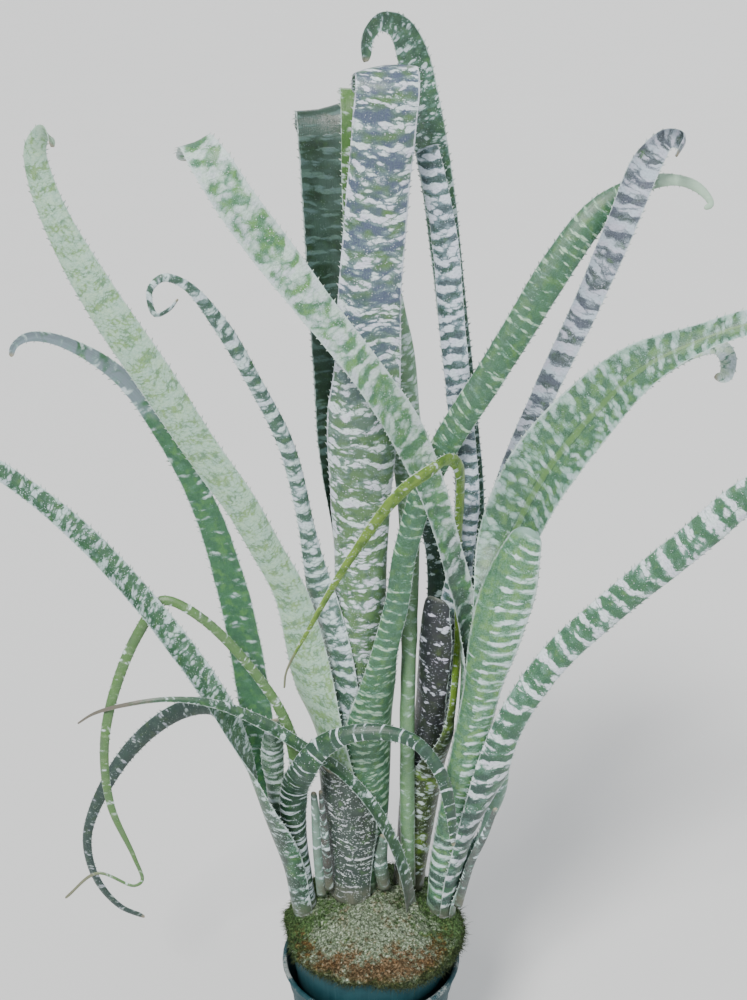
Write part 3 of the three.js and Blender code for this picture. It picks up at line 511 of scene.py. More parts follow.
def leafFinish(leaf, seed):  # the sides meet at the margin; midrib, rim, foot, tip and spines go over both
    board = Board(leaf["name"] + "_skin")
    across, along, side = board.field("bladePlace")
    share, toTip, spine = board.field("bladeShape")
    rise = along.step(*leaf["span"])
    backColour, backCover, streak = scurfSide(board, leaf["back"], across, along, share, rise, seed)
    frontColour, frontCover, _ = scurfSide(board, leaf["front"], across, along, share, rise, seed + 20)
    inside = side.step(-0.05, 0.05)
    colour = board.mix(inside, backColour, frontColour)
    cover = backCover + (frontCover - backCover) * inside
    rough = board.noise(across / 4, along / 5, seed, 2.0)
    patch = board.noise(across / 7, along / 9, seed + 2.0, 3.0, 0.6)
    if "midrib" in leaf:  # a paler strip with a thin dark line on each side of it, the lines being painted shade in the fold's groove
        middle, half, tone = leaf["midrib"]
        aside = (share - middle + (patch - 0.5) * 0.10).size()
        colour = board.mix((1 - aside.step(half * 0.5, half)) * (1 - cover * 0.6) * 0.75, colour, tone)
        # painted shade: thin dark lines along both edges of the midrib, where the groove lies
        line = 1 - (aside - half).size().step(0.004, 0.024)
        colour = board.mix(line * rough.step(0.3, 0.6) * 0.6, colour, leafCoat["line"])
    rim = (share.size() + (rough - 0.5) * 0.08).step(1 - leaf["rim"], 1.02 - 0.6 * leaf["rim"])
    colour = board.mix(rim * (rough.step(0.35, 0.6) * 0.5 + 0.25), colour, leaf["rimColour"])
    # the foot darkens: partly the base's own colour, partly painted shade where the leaf comes out of the
    # sheath and moss
    reach = leaf["foot"]
    foot = 1 - (along + (patch - 0.5) * 2.4 * reach).step(reach * 0.5, reach * 1.5 + 4)
    colour = board.mix(foot * (patch.step(0.3, 0.65) * 0.6 + 0.35), colour, leaf["footTintAndShade"])
    reach = leaf["dryTip"]
    tip = 1 - (toTip + (patch - 0.5) * 1.2 * reach).step(reach * 0.7, reach * 1.3 + 4)
    colour = board.mix(tip * 0.9, colour, leaf["tipColour"])
    colour = board.mix(spine.step(0.15, 0.95), colour, leaf["spineColour"])
    grain = board.noise(across / 0.8, along / 0.8, seed, 2.0)
    height = streak * 0.5 + cover * 0.6 + grain * 0.35 + patch * 0.6
    return board.finish(
        Base_Color=colour, Roughness=cover * leafCoat["scurfRough"] + leafCoat["rough"],
        Normal=board.bump(height, leafCoat["bump"], leafCoat["depth"]), Specular_IOR_Level=leafCoat["shine"],
    )


# The leaves: shoot, ring and compass direction of the sheath, the height where it leaves, the free midrib as
# (x, y, z, width), and how its outer side (back) and hollow side (front) are finished
leaves = [
    dict(
        name="leaf_center_front", shoot="central", azimuth=270, ring=2, rise=300, channel=0.55, open=180,
        flat=0.22, curl=120, span=(330, 560), rimColour=(0.66, 0.7, 0.78),
        path=[(-6, -7, 618, 57), (-2, -6, 663, 51), (0, -4, 721, 47), (5, 0, 783, 46), (10, 2, 836, 45),
            (12, 6, 858, 44), (11, 18, 869, 44), (7, 34, 865, 42), (6, 46, 848, 42)],
        back=dict(period=15, regular=0.75, cover=(0.37, 0.34), wide=8.2, tall=2.9, green=(0.04, 0.1, 0.036),
            deep=(0.02, 0.055, 0.024), tinted=(0, 1.1), tintAndPaintedLight=(0.052, 0.062, 0.125), glow=0.42, veil=0.7,
            scurf=(0.66, 0.76, 0.76), scurf2=(0.66, 0.66, 0.78), haze=(0.2, 0.31, 0.29),
            warm=(0.07, 0.15, 0.033)),
        front=dict(tinted=(0, 0.4), glow=0.4),
    ),
    dict(
        name="leaf_left_tall", shoot="central", azimuth=198, ring=6, rise=110, channel=0.45, open=80,
        twist=75, foot=26, footTintAndShade=(0.065, 0.076, 0.05), span=(120, 330),
        path=[(-45, 3, 387, 41), (-60, 0, 477, 27), (-79, -4, 521, 25), (-97, -7, 559, 26),
            (-125, -9, 605, 27), (-155, -10, 658, 29), (-190, -5, 714, 28), (-218, 4, 767, 22),
            (-228, 9, 795, 19), (-230, 10, 815, 16), (-223, 6, 827, 12), (-217, -2, 827, 12),
            (-214, -9, 820, 12)],
        back=dict(green=(0.1, 0.22, 0.09), period=15, regular=0.6, cover=(0.36, 0.48), edge=0.1, specks=0.2,
            wide=2.6, tall=1.9, veil=1, glow=0.35, deep=(0.08, 0.17, 0.075), haze=(0.27, 0.43, 0.353),
            soft=1.5, scurf=(0.44, 0.6, 0.4), scurf2=(0.42, 0.57, 0.46), warm=(0.17, 0.3, 0.08)),
    ),
    dict(
        name="leaf_right_light", shoot="central", azimuth=306, ring=5, rise=150, channel=0.6, open=120,
        twist=-45, span=(170, 300), dryTip=55, tipColour=(0.36, 0.5, 0.38),
        path=[(11, -10, 431, 24), (20, -3, 475, 20), (26, 2, 515, 19), (41, 8, 569, 21), (58, 12, 604, 23),
            (82, 18, 642, 24), (110, 24, 688, 25), (137, 31, 733, 26), (164, 38, 768, 22),
            (192, 45, 785, 14), (219, 50, 789, 9), (237, 50, 783, 8), (246, 47, 772, 5), (241, 45, 769, 5)],
        back=dict(green=(0.035, 0.115, 0.041), deep=(0.025, 0.08, 0.035), cover=(0.24, 0.02), period=8,
            regular=0.9, veil=0.6, specks=0.25, glow=0.25, soft=0.5, haze=(0.15, 0.3, 0.246),
            scurf=(0.38, 0.56, 0.38), scurf2=(0.4, 0.54, 0.42), wide=7, tall=2.2),
    ),
    dict(
        name="leaf_coiled", shoot="central", azimuth=198, ring=4, rise=200, channel=0.6, open=100, twist=90,
        path=[(-44, 6, 508, 17), (-61, 6, 598, 13), (-83, 4, 649, 12), (-106, 0, 694, 12),
            (-130, -4, 725, 7), (-145, -6, 730, 6), (-155, -5, 720, 5), (-152, -2, 702, 5),
            (-142, 0, 706, 4), (-136, 2, 713, 2)],
        back=dict(period=13, regular=0.9, cover=(0.44, 0.5), veil=0.8, soft=0.5, haze=(0.17, 0.26, 0.26)),
    ),
    dict(
        name="leaf_back_left", shoot="central", azimuth=126, ring=1, rise=300, channel=0.5, open=120,
        twist=-35, flat=0.22, curl=110, span=(420, 500),
        path=[(-24, 50, 623, 39), (-27, 53, 700, 40), (-32, 57, 773, 37), (-35, 61, 821, 35),
            (-37, 70, 835, 34), (-39, 86, 829, 33), (-40, 99, 813, 33)],
        # its near-black greens, grey scurf and dark haze are painted shade on a leaf at the back; the paler
        # colour blended in towards the tip is a painted highlight where it curves over
        back=dict(green=(0.012, 0.036, 0.014), deep=(0.006, 0.018, 0.008), period=9, regular=0.9,
            cover=(0.22, 0.26), veil=0.6, wide=12, tall=3, scurf=(0.08, 0.15, 0.12),
            scurf2=(0.08, 0.14, 0.14), edge=0.3, warm=(0.02, 0.055, 0.012), haze=(0.03, 0.065, 0.053),
            soft=0.6, tinted=(0, 0.7), tintAndPaintedLight=(0.045, 0.085, 0.07)),
    ),
    dict(
        name="leaf_back_strip", shoot="central", azimuth=90, ring=0, rise=300, channel=0.6, open=120,
        flat=0.22,
        path=[(-5, 42, 625, 27), (-7, 42, 703, 25), (-9, 43, 790, 24), (-10, 48, 839, 22),
            (-11, 60, 851, 22), (-11, 73, 840, 22)],
        back=dict(green=(0.081, 0.168, 0.05), deep=(0.045, 0.107, 0.037), cover=(0.13, 0.16), veil=0.7,
            specks=0.2, glow=0.5, haze=(0.16, 0.28, 0.1), soft=0.6),
    ),
    dict(
        name="leaf_short_bract", shoot="central", azimuth=234, ring=7, rise=75, channel=1, tip=8,
        path=[(-31, -5, 298, 58), (-33, -4, 313, 46), (-34, -7, 330, 38)],
        back=dict(green=(0.035, 0.06, 0.04), deep=(0.012, 0.02, 0.014), tinted=(0.6, 0.7),
            tintAndPaintedLight=(0.045, 0.066, 0.06), cover=(0.1, 0.14), specks=0.85, wide=6, tall=1.8, period=6,
            regular=0.5, veil=0.5, haze=(0.07, 0.1, 0.09), scurf=(0.64, 0.7, 0.7),
            scurf2=(0.64, 0.66, 0.72)),
    ),
    dict(
        name="leaf_top_arch", shoot="rear", azimuth=54, ring=1, rise=200, channel=0.6, open=100, twist=55,
        path=[(78, 50, 523, 24), (71, 52, 606, 24), (59, 56, 699, 25), (48, 60, 780, 27), (37, 63, 836, 28),
            (28, 60, 875, 25), (19, 52, 893, 18), (6, 44, 897, 14), (-3, 36, 887, 14), (-4, 32, 871, 14)],
        back=dict(cover=(0.1, 0.22), veil=0.8, haze=(0.1, 0.2, 0.164), soft=0.3,
            green=(0.035, 0.095, 0.034), deep=(0.02, 0.055, 0.024)),
        front=dict(green=(0.04, 0.11, 0.041), cover=(0.13, 0.21), veil=0.7, specks=0.45),
    ),
    dict(
        name="leaf_blue_banded", shoot="rear", azimuth=270, ring=3, rise=200, channel=0.6, open=80,
        twist=-10, flat=0.25, curl=70,
        path=[(71, 26, 499, 20), (74, 28, 549, 20), (69, 30, 605, 20), (60, 32, 682, 21), (53, 33, 749, 20),
            (44, 33, 795, 18), (40, 36, 811, 17), (40, 45, 812, 17), (41, 53, 800, 17)],
        back=dict(regular=1, cover=(0.46, 0.5), scurf=(0.64, 0.72, 0.8), green=(0.023, 0.065, 0.041),
            tintAndPaintedLight=(0.04, 0.05, 0.07), tinted=(0.3, 0.8), wide=7, tall=4, veil=0.9, scurf2=(0.66, 0.69, 0.82),
            soft=0.3, haze=(0.19, 0.28, 0.32)),
    ),
    dict(
        name="leaf_folded_center", shoot="rear", azimuth=306, ring=5, rise=110, channel=0.5, twist=15,
        dryTip=26, tipColour=(0.151, 0.152, 0.099), bareTip=120, span=(150, 215),
        path=[(64, 1, 366, 12), (70, 14, 427, 12), (70, 17, 478, 12), (68, 17, 516, 14), (69, 12, 556, 13),
            (66, -8, 588, 11), (57, -26, 602, 10), (44, -44, 600, 15), (22, -48, 584, 15),
            (-14, -50, 534, 10), (-45, -55, 480, 5), (-62, -58, 447, 2), (-64, -57, 433, 1)],
        # the near-black colour blended in towards the foot is painted shade on the lower leaf
        back=dict(green=(0.08, 0.17, 0.018), deep=(0.05, 0.115, 0.012), cover=(0.3, 0.05), veil=0.4,
            specks=0.5, glow=0.4, haze=(0.16, 0.26, 0.06), soft=0.4, warm=(0.15, 0.26, 0.03),
            tinted=(1.6, 0), tintAndPaintedLight=(0.018, 0.026, 0.016)),
    ),
    dict(
        name="leaf_rear", shoot="rear", azimuth=90, ring=2, rise=150, channel=0.6, open=120,
        path=[(56, 70, 479, 22), (44, 92, 523, 22), (27, 122, 574, 22), (14, 152, 616, 21),
            (4, 186, 641, 18), (-1, 212, 643, 18), (-5, 234, 628, 13)],
        back=dict(green=(0.014, 0.039, 0.022), cover=(0.23, 0.25), haze=(0.06, 0.12, 0.098),
            warm=(0.04, 0.09, 0.02)),
    ),
    dict(
        name="leaf_back_short", shoot="rear", azimuth=234, ring=4, rise=150, channel=0.9, tip=8,
        tipColour=(0.081, 0.091, 0.075),
        path=[(45, 10, 393, 34), (47, 4, 437, 36), (48, 4, 463, 29), (50, 6, 477, 24)],
        # its near-black greens, the dark colour blended over it and its dark haze are painted shade on a
        # leaf deep between the shoots
        back=dict(green=(0.022, 0.034, 0.018), deep=(0.01, 0.016, 0.01), cover=(0.11, 0.15), specks=0.5,
            tinted=(0.8, 0.8), tintAndPaintedLight=(0.02, 0.02, 0.028), veil=0.7, haze=(0.035, 0.045, 0.05),
            warm=(0.05, 0.08, 0.02), scurf=(0.56, 0.62, 0.7), scurf2=(0.6, 0.58, 0.72)),
    ),
    dict(
        name="leaf_upper_left", shoot="right", azimuth=162, ring=1, rise=200, channel=0.6, open=140,
        twist=-45, flat=0.25, curl=80, rim=0.12, span=(330, 560),
        path=[(71, 11, 463, 26), (59, 9, 519, 21), (45, 0, 568, 24), (24, -12, 620, 29), (-2, -30, 667, 26),
            (-33, -40, 711, 27), (-65, -44, 755, 30), (-89, -46, 789, 30), (-105, -42, 815, 27),
            (-114, -30, 825, 23), (-118, -14, 821, 23), (-122, 0, 810, 23)],
        # the dark colour blended in towards the foot is painted shade on the lower leaf
        back=dict(green=(0.055, 0.17, 0.061), deep=(0.03, 0.11, 0.048), period=17, regular=0.8,
            cover=(0.16, 0.5), wide=9, tall=5.5, veil=0.6, edge=0.45, scurf=(0.62, 0.74, 0.68), glow=0.3,
            soft=0.8, haze=(0.26, 0.44, 0.361), warm=(0.1, 0.24, 0.053), tinted=(0.9, -0.4),
            tintAndPaintedLight=(0.03, 0.05, 0.04), scurf2=(0.64, 0.66, 0.74)),
    ),
    dict(
        name="leaf_right_arch", shoot="right", azimuth=342, ring=2, rise=150, channel=0.6, open=100,
        twist=70, midrib=(0.05, 0.11, (0.1, 0.2, 0.06)), span=(120, 420),
        path=[(91, -10, 482, 27), (106, 9, 523, 52), (129, 0, 583, 58), (161, -6, 631, 51),
            (192, -12, 666, 38), (231, -18, 689, 22), (270, -24, 704, 19), (304, -30, 707, 13),
            (321, -32, 695, 11)],
        # the dark colour blended in towards the foot is painted shade on the lower leaf
        back=dict(green=(0.03, 0.1, 0.036), deep=(0.016, 0.06, 0.026), cover=(-0.02, 0.22), period=12,
            veil=1, glow=0.3, edge=0.35, tinted=(0.7, -0.2), tintAndPaintedLight=(0.03, 0.05, 0.04), wide=8, tall=4.2,
            soft=0.9, haze=(0.19, 0.35, 0.287), regular=0.8, specks=0.3, warm=(0.08, 0.18, 0.04),
            scurf=(0.44, 0.58, 0.52), scurf2=(0.48, 0.54, 0.6)),
    ),
    dict(
        name="leaf_right_hanging", shoot="right", azimuth=54, ring=3, rise=150, channel=0.6, open=80,
        twist=15, span=(300, 380),
        path=[(104, 21, 476, 16), (124, 27, 533, 17), (158, 25, 599, 17), (200, 22, 645, 15),
            (233, 18, 670, 13), (252, 12, 676, 13), (259, 8, 668, 13), (257, 4, 655, 10),
            (249, 3, 655, 10)],
        back=dict(period=12, regular=0.5, cover=(0.34, 0.85), soft=0.4, scurf=(0.5, 0.62, 0.46)),
    ),
    dict(
        name="leaf_right_short", shoot="right", azimuth=270, ring=4, rise=75, channel=0.8, open=120,
        twist=-15, tip=10, rim=0.14, dryTip=5, tipColour=(0.201, 0.32, 0.274), span=(70, 125),
        path=[(84, -21, 402, 32), (93, -27, 457, 44), (103, -23, 497, 46), (112, -21, 529, 32),
            (118, -17, 545, 23)],
        # the near-black colour blended in towards the foot is painted shade where the leaf goes into the
        # tube
        back=dict(green=(0.045, 0.15, 0.054), deep=(0.022, 0.09, 0.04), period=9, regular=1,
            cover=(0.24, 0.24), veil=0.9, wide=11, tall=2.8, bare=(0.2, 1.3), specks=0.2,
            haze=(0.27, 0.45, 0.369), soft=0.45, warm=(0.1, 0.22, 0.048), glow=0.3, tinted=(1.5, -0.3),
            tintAndPaintedLight=(0.012, 0.022, 0.018), scurf=(0.6, 0.72, 0.72)),
    ),
    dict(
        name="leaf_right_purple", shoot="right", azimuth=162, ring=0, rise=200, channel=0.7, open=120,
        twist=-75,
        path=[(94, 20, 490, 19), (99, 26, 542, 20), (113, 31, 589, 20), (132, 32, 640, 20),
            (158, 35, 701, 22), (179, 33, 760, 24), (197, 39, 805, 23), (209, 37, 820, 16),
            (219, 28, 819, 16), (213, 22, 809, 14)],
        back=dict(period=16, regular=1.1, cover=(0.44, 0.5), green=(0.035, 0.055, 0.03), tinted=(0.5, 0.95),
            tintAndPaintedLight=(0.05, 0.055, 0.085), scurf=(0.44, 0.52, 0.6), scurf2=(0.5, 0.5, 0.6), veil=1,
            deep=(0.02, 0.038, 0.034), soft=0.3, haze=(0.22, 0.27, 0.31), wide=12),
    ),
    dict(
        name="leaf_right_low", shoot="right", azimuth=342, ring=5, rise=45, channel=0.6, open=120,
        twist=-80,
        path=[(92, -14, 304, 32), (107, -28, 380, 25), (139, -28, 438, 26), (183, -30, 487, 27),
            (239, -35, 544, 28), (271, -37, 577, 27), (305, -41, 601, 22), (335, -44, 607, 13),
            (351, -45, 594, 7)],
        # the near-black colour blended in towards the foot is painted shade on the lower leaf
        back=dict(period=15, regular=1.1, cover=(0.28, 0.42), green=(0.035, 0.12, 0.043),
            deep=(0.018, 0.075, 0.033), scurf=(0.7, 0.78, 0.8), scurf2=(0.68, 0.68, 0.78), wide=9, tall=4.5,
            veil=0.6, glow=0.15, soft=0.25, haze=(0.18, 0.34, 0.279), tinted=(1.4, -1.4),
            tintAndPaintedLight=(0.014, 0.028, 0.026)),
    ),
    dict(
        name="leaf_right_edge", shoot="right", azimuth=18, ring=6, rise=15, channel=0.8, open=100,
        twist=-120, tip=8,
        path=[(92, 13, 241, 25), (106, 19, 277, 20), (109, 15, 315, 12), (112, 14, 346, 8)],
        back=dict(green=(0.111, 0.213, 0.149), deep=(0.07, 0.145, 0.099), cover=(0.16, 0.16), veil=0.85),
    ),
    dict(
        name="dry_sheath_right", inward=(0, 1, 0.2), channel=0.8, tip=6, spines=False,
        path=[(74, -12, 202, 8), (82, -17, 244, 8), (93, -19, 275, 7), (101, -19, 301, 4)],
        back=dict(green=(0.086, 0.084, 0.079), deep=(0.04, 0.038, 0.041), cover=(0.16, 0.16), veil=0.7,
            specks=0.3, glow=0),
    ),
    dict(
        name="leaf_curled_front", shoot="left", azimuth=306, ring=4, rise=45, channel=0.6, open=100,
        twist=-85, span=(40, 150),
        path=[(-63, -8, 301, 24), (-54, -34, 345, 23), (-41, -34, 365, 20), (-20, -38, 380, 15),
            (7, -41, 385, 13), (34, -44, 378, 11), (54, -46, 352, 11), (63, -45, 317, 10),
            (66, -43, 282, 4)],
        back=dict(period=7, regular=1.1, cover=(0.5, 0), green=(0.018, 0.06, 0.022),
            deep=(0.01, 0.034, 0.015), scurf=(0.66, 0.74, 0.78), veil=0.35, wide=14, tall=2.6, soft=0.35,
            haze=(0.08, 0.18, 0.148), warm=(0.05, 0.12, 0.026)),
    ),
    dict(
        name="leaf_low_left", shoot="left", azimuth=234, ring=5, rise=45, channel=0.6, open=100, twist=-90,
        twistOver=220, rim=0.1, span=(60, 220),
        path=[(-88, -13, 298, 34), (-102, -8, 340, 34), (-126, -10, 401, 26), (-169, -16, 478, 22),
            (-214, -26, 544, 20), (-252, -35, 586, 16), (-286, -43, 614, 13), (-311, -48, 620, 9),
            (-324, -50, 609, 7)],
        # the near-black colour blended in towards the foot is painted shade on the lower leaf
        back=dict(period=12, regular=0.5, cover=(0.12, 0.3), green=(0.035, 0.11, 0.04), edge=0.3, soft=0.45,
            haze=(0.2, 0.36, 0.295), deep=(0.02, 0.07, 0.031), tinted=(1.3, -0.7),
            tintAndPaintedLight=(0.014, 0.028, 0.018), specks=0.6, veil=0.4),
    ),
    dict(
        name="leaf_left_green", shoot="left", azimuth=162, ring=2, rise=45, channel=0.5, open=40, twist=-80,
        foot=30, footTintAndShade=(0.05, 0.065, 0.033), span=(440, 500),
        path=[(-87, 31, 289, 22), (-94, 26, 374, 28), (-105, 23, 462, 27), (-126, 22, 546, 22),
            (-151, 21, 601, 17), (-183, 18, 652, 15), (-225, 14, 680, 10), (-247, 12, 683, 8),
            (-258, 12, 676, 5), (-261, 12, 668, 5)],
        back=dict(green=(0.045, 0.122, 0.05), cover=(0.25, 0.28)),
        # the pale blue-grey blended in towards the tip of the hollow side is a painted sheen on the glossy
        # channel
        front=dict(green=(0.035, 0.13, 0.047), deep=(0.02, 0.08, 0.035), cover=(0, 0.16), veil=0.5,
            specks=0.1, haze=(0.11, 0.24, 0.197), tinted=(0, 2.2), tintAndPaintedLight=(0.17, 0.21, 0.25), soft=0.6,
            glow=0.25, warm=(0.06, 0.18, 0.04), wide=12, tall=5),
    ),
    dict(
        name="leaf_left_folded", shoot="left", azimuth=306, ring=1, rise=50, channel=0.7, open=90,
        twist=-15, dryTip=40, tipColour=(0.151, 0.152, 0.099), bareTip=200,
        path=[(-59, -2, 330, 13), (-70, -5, 379, 9), (-94, -7, 423, 8), (-127, -9, 464, 8),
            (-152, -6, 479, 8), (-161, -6, 479, 9), (-168, -12, 472, 9), (-191, -14, 429, 9),
            (-207, -27, 374, 8), (-208, -25, 308, 7), (-192, -26, 258, 4), (-187, -26, 235, 3),
            (-194, -26, 230, 3), (-223, -24, 241, 3), (-252, -22, 215, 2)],
        back=dict(green=(0.086, 0.168, 0.05), deep=(0.05, 0.107, 0.037), cover=(0.18, 0.04), veil=0.65,
            specks=0.15, glow=0.4, haze=(0.18, 0.28, 0.14), soft=0.4),
    ),
    dict(
        name="leaf_left_bud", shoot="left", azimuth=234, ring=0, rise=45, channel=0.8, twist=60, tip=8,
        path=[(-77, 6, 271, 13), (-79, 6, 306, 17), (-79, 6, 339, 21), (-75, 6, 369, 13)],
        back=dict(green=(0.05, 0.114, 0.066), period=8, regular=0.9, cover=(0.33, 0.33), veil=1, wide=12,
            tall=2.8, haze=(0.24, 0.34, 0.28), soft=0.4),
    ),
    dict(
        name="leaf_left_droop", shoot="left", azimuth=126, ring=3, rise=15, channel=0.6, open=80, twist=135,
        bareTip=60,
        path=[(-95, 46, 298, 24), (-111, 52, 332, 18), (-134, 55, 350, 19), (-161, 58, 344, 17),
            (-198, 64, 313, 15), (-233, 69, 261, 12), (-253, 72, 207, 9), (-249, 74, 162, 8),
            (-230, 76, 129, 7), (-208, 77, 116, 6)],
        # its dark greens, greyed scurf and dark haze are painted shade on a leaf hanging at the back
        back=dict(green=(0.017, 0.043, 0.03), deep=(0.01, 0.026, 0.021), cover=(0.15, 0.16),
            scurf=(0.336, 0.408, 0.378), scurf2=(0.314, 0.336, 0.403), haze=(0.05, 0.08, 0.066),
            warm=(0.03, 0.06, 0.02)),
    ),
    dict(
        name="leaf_thin_front", inward=(0, -0.2, 1), channel=0.6, footTintAndShade=(0.121, 0.122, 0.108), foot=26,
        dryTip=60, tipColour=(0.131, 0.114, 0.091), bareTip=120,
        path=[(32, -2, 192, 18), (27, -6, 225, 16), (17, -12, 263, 14), (-1, -16, 303, 13),
            (-25, -14, 332, 12), (-53, -11, 351, 12), (-83, -16, 376, 12), (-120, -27, 401, 8),
            (-154, -30, 407, 5), (-185, -30, 403, 4), (-215, -22, 390, 3), (-229, -20, 380, 1)],
        back=dict(green=(0.03, 0.085, 0.031), deep=(0.016, 0.05, 0.022), cover=(0.23, 0.05), veil=0.5,
            haze=(0.08, 0.15, 0.123), soft=0.4),
    ),
    dict(
        name="leaf_right_inner", inward=(0, 1, 0), channel=1.5, flat=1, curl=330, span=(260, 420),
        spines=False, foot=14,
        path=[(32, 12, 203, 18), (31, 12, 258, 18), (30, 12, 326, 18), (30, 13, 391, 18), (31, 18, 451, 18),
            (31, 25, 500, 19), (30, 28, 549, 23), (26, 29, 606, 29), (21, 30, 660, 29), (17, 31, 698, 20),
            (13, 31, 716, 19)],
        back=dict(green=(0.11, 0.22, 0.079), deep=(0.08, 0.17, 0.075), cover=(0, 0.3), veil=0.8, specks=0.1,
            scurf=(0.515, 0.648, 0.554), haze=(0.28, 0.44, 0.361), soft=0.5),
    ),
    dict(
        name="dry_sheath_left_a", inward=(0, 1, 0), channel=0.8, tip=6, spines=False,
        path=[(-42, 4, 201, 9), (-44, 3, 234, 9), (-45, 3, 269, 9), (-47, 4, 301, 5)],
        back=dict(green=(0.181, 0.274, 0.224), deep=(0.121, 0.168, 0.133), cover=(0.16, 0.16), veil=0.7,
            specks=0.2, glow=0),
    ),
    dict(
        name="dry_sheath_left_b", inward=(0, 1, 0), channel=0.8, tip=6, spines=False,
        path=[(-35, 2, 208, 8), (-37, -2, 243, 8), (-39, -3, 278, 6), (-41, -3, 307, 3)],
        back=dict(green=(0.065, 0.046, 0.041), deep=(0.03, 0.021, 0.025), cover=(0.25, 0.2), veil=0.65,
            specks=0.5, glow=0),
    ),
    dict(
        name="young_shoot_tip", inward=(0, 1, 0), channel=1, tip=6, spines=False,
        path=[(11, 4, 207, 13), (8, 2, 230, 14), (9, 2, 247, 12), (11, 3, 260, 8)],
        back=dict(green=(0.111, 0.16, 0.116), deep=(0.05, 0.065, 0.05), cover=(0.25, 0.21), veil=0.7,
            glow=0.1),
    ),
]

for number, own in enumerate(leaves):
    leaf = {**plainLeaf, "front": own["back"], **own}
    blade = buildLeaf(leaf, number + 1)
    blade.data.materials.append(leafFinish(leaf, 3.7 * number))
    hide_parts(leaf["name"])
    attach(blade, "root")
print("leaves built,", len(leaves))

moss = {
    "under": 160, "rim": 170.6, "inside": 64.4, "outside": 70.8, "sides": 300, "rows": 130,
    "shoulder": 172, "dome": 25, "domeRadius": 80, "power": 1.7, "backRise": 0.09, "sideDrop": 5,
    "reach": 74.5, "bulge": 6, "skirt": 167.5, "droop": 8,  # over the edge, more of both to the right
    "lumps": ((7, 3.4, 2), (3, 2.4, 5), (1.3, 1.2, 9)),  # length and height in mm, and seed
    "strands": 16000, "joints": 4, "grain": 1.6,
}

mossTones = {  # from the grain's gaps, darkened as painted shade, to its tips
    "straw": [
        (0.3, (0.035, 0.05, 0.022)), (0.5, (0.14, 0.18, 0.115)), (0.62, (0.34, 0.39, 0.30)),
        (0.74, (0.66, 0.70, 0.60)),
    ],
    "green": [(0.3, (0.010, 0.024, 0.007)), (0.5, (0.042, 0.088, 0.026)), (0.74, (0.17, 0.26, 0.10))],
    "rust": [(0.3, (0.016, 0.009, 0.004)), (0.5, (0.10, 0.04, 0.012)), (0.72, (0.28, 0.14, 0.055))],
    "dark": [(0.3, (0.006, 0.013, 0.004)), (0.54, (0.026, 0.046, 0.012)), (0.76, (0.15, 0.15, 0.06))],
    "tan": [(0.3, (0.02, 0.017, 0.008)), (0.5, (0.12, 0.085, 0.04)), (0.72, (0.40, 0.32, 0.20))],
    "gap": (0.008, 0.012, 0.005),
}


def mossTop(x, y):  # a dome that falls with a power of the radius, rising to the back, lower at both sides
    radius = np.minimum(np.hypot(x, y), moss["domeRadius"])
    dome = moss["dome"] * (1 - (radius / moss["domeRadius"]) ** moss["power"])
    lower = moss["sideDrop"] * ease(35, 60, np.abs(x))
    hummocks = 1.1 * np.sin(x / 9 + 1) * np.cos(y / 8) + 0.8 * np.sin(x / 5 - y / 6)
    return moss["shoulder"] + dome + moss["backRise"] * y - lower + hummocks


def mossProfile(angle):  # radius and height from the crown over the edge and back under it, at each angle
    right = np.maximum(0, np.cos(angle + 0.3))
    reach = moss["reach"] + moss["bulge"] * right**2 + 1.2 * np.sin(5 * angle + 1) + 0.8 * np.sin(9 * angle)
    skirt = moss["skirt"] - moss["droop"] * right**2 + 1.1 * np.sin(7 * angle)
    topAt = lambda radius: mossTop(radius * np.cos(angle), radius * np.sin(angle))
    edge = np.maximum(topAt(0.9 * reach), moss["rim"] + 3)
    outside, inside, rim = moss["outside"], moss["inside"], moss["rim"]
    rings = [(r, topAt(r)) for r in (0.5, *range(5, 61, 5))]
    for share, fall in ((0.9, 0), (0.955, 0.16), (0.98, 0.4), (0.985, 0.7)):
        rings.append((reach * share, edge + (skirt - edge) * fall))
    rings += [(reach * 0.97, skirt + 1), ((reach * 0.97 + outside) / 2, skirt), (outside, skirt + 1)]
    rings += [(outside, rim), (inside, rim), (inside, moss["under"])]
    return [np.stack([np.broadcast_to(ring[n], angle.shape) for ring in rings]) for n in (0, 1)]


def mossLumps(x, y, z):  # three sizes of noise, up to about three and a half millimetres in and out
    sizes = moss["lumps"]
    return sum(tall * (softNoise(x / long, y / long, z / long, seed) - 0.5) for long, tall, seed in sizes)


def buildMoss():  # the profile resampled along its length, pushed in and out along its normal by the lumps
    angle = np.arange(moss["sides"]) * tau / moss["sides"]
    r, z = mossProfile(angle)
    reach = np.r_[0, np.cumsum(np.hypot(np.diff(r.mean(1)), np.diff(z.mean(1))))]
    share = np.linspace(0, reach[-1], moss["rows"])
    r, z = between(share, reach, r), between(share, reach, z)
    dr, dz = np.gradient(r, axis=0), np.gradient(z, axis=0)
    norm = np.maximum(np.hypot(dr, dz), 1e-6)
    free = 1 - ease(reach[-4] - 2, reach[-4], share)[:, None]
    lump = mossLumps(r * np.cos(angle), r * np.sin(angle), z) * free
    wide, high = r - dz / norm * lump, z + dr / norm * lump
    points = np.stack([wide * np.cos(angle), wide * np.sin(angle), high], -1).reshape(-1, 3)
    points = np.vstack([points, [[0, 0, float(high[0].mean())], [0, 0, moss["under"]]]])
    size = (moss["rows"], moss["sides"])
    return points, gridQuads(*size), endFans(*size), (share, r, z, reach)


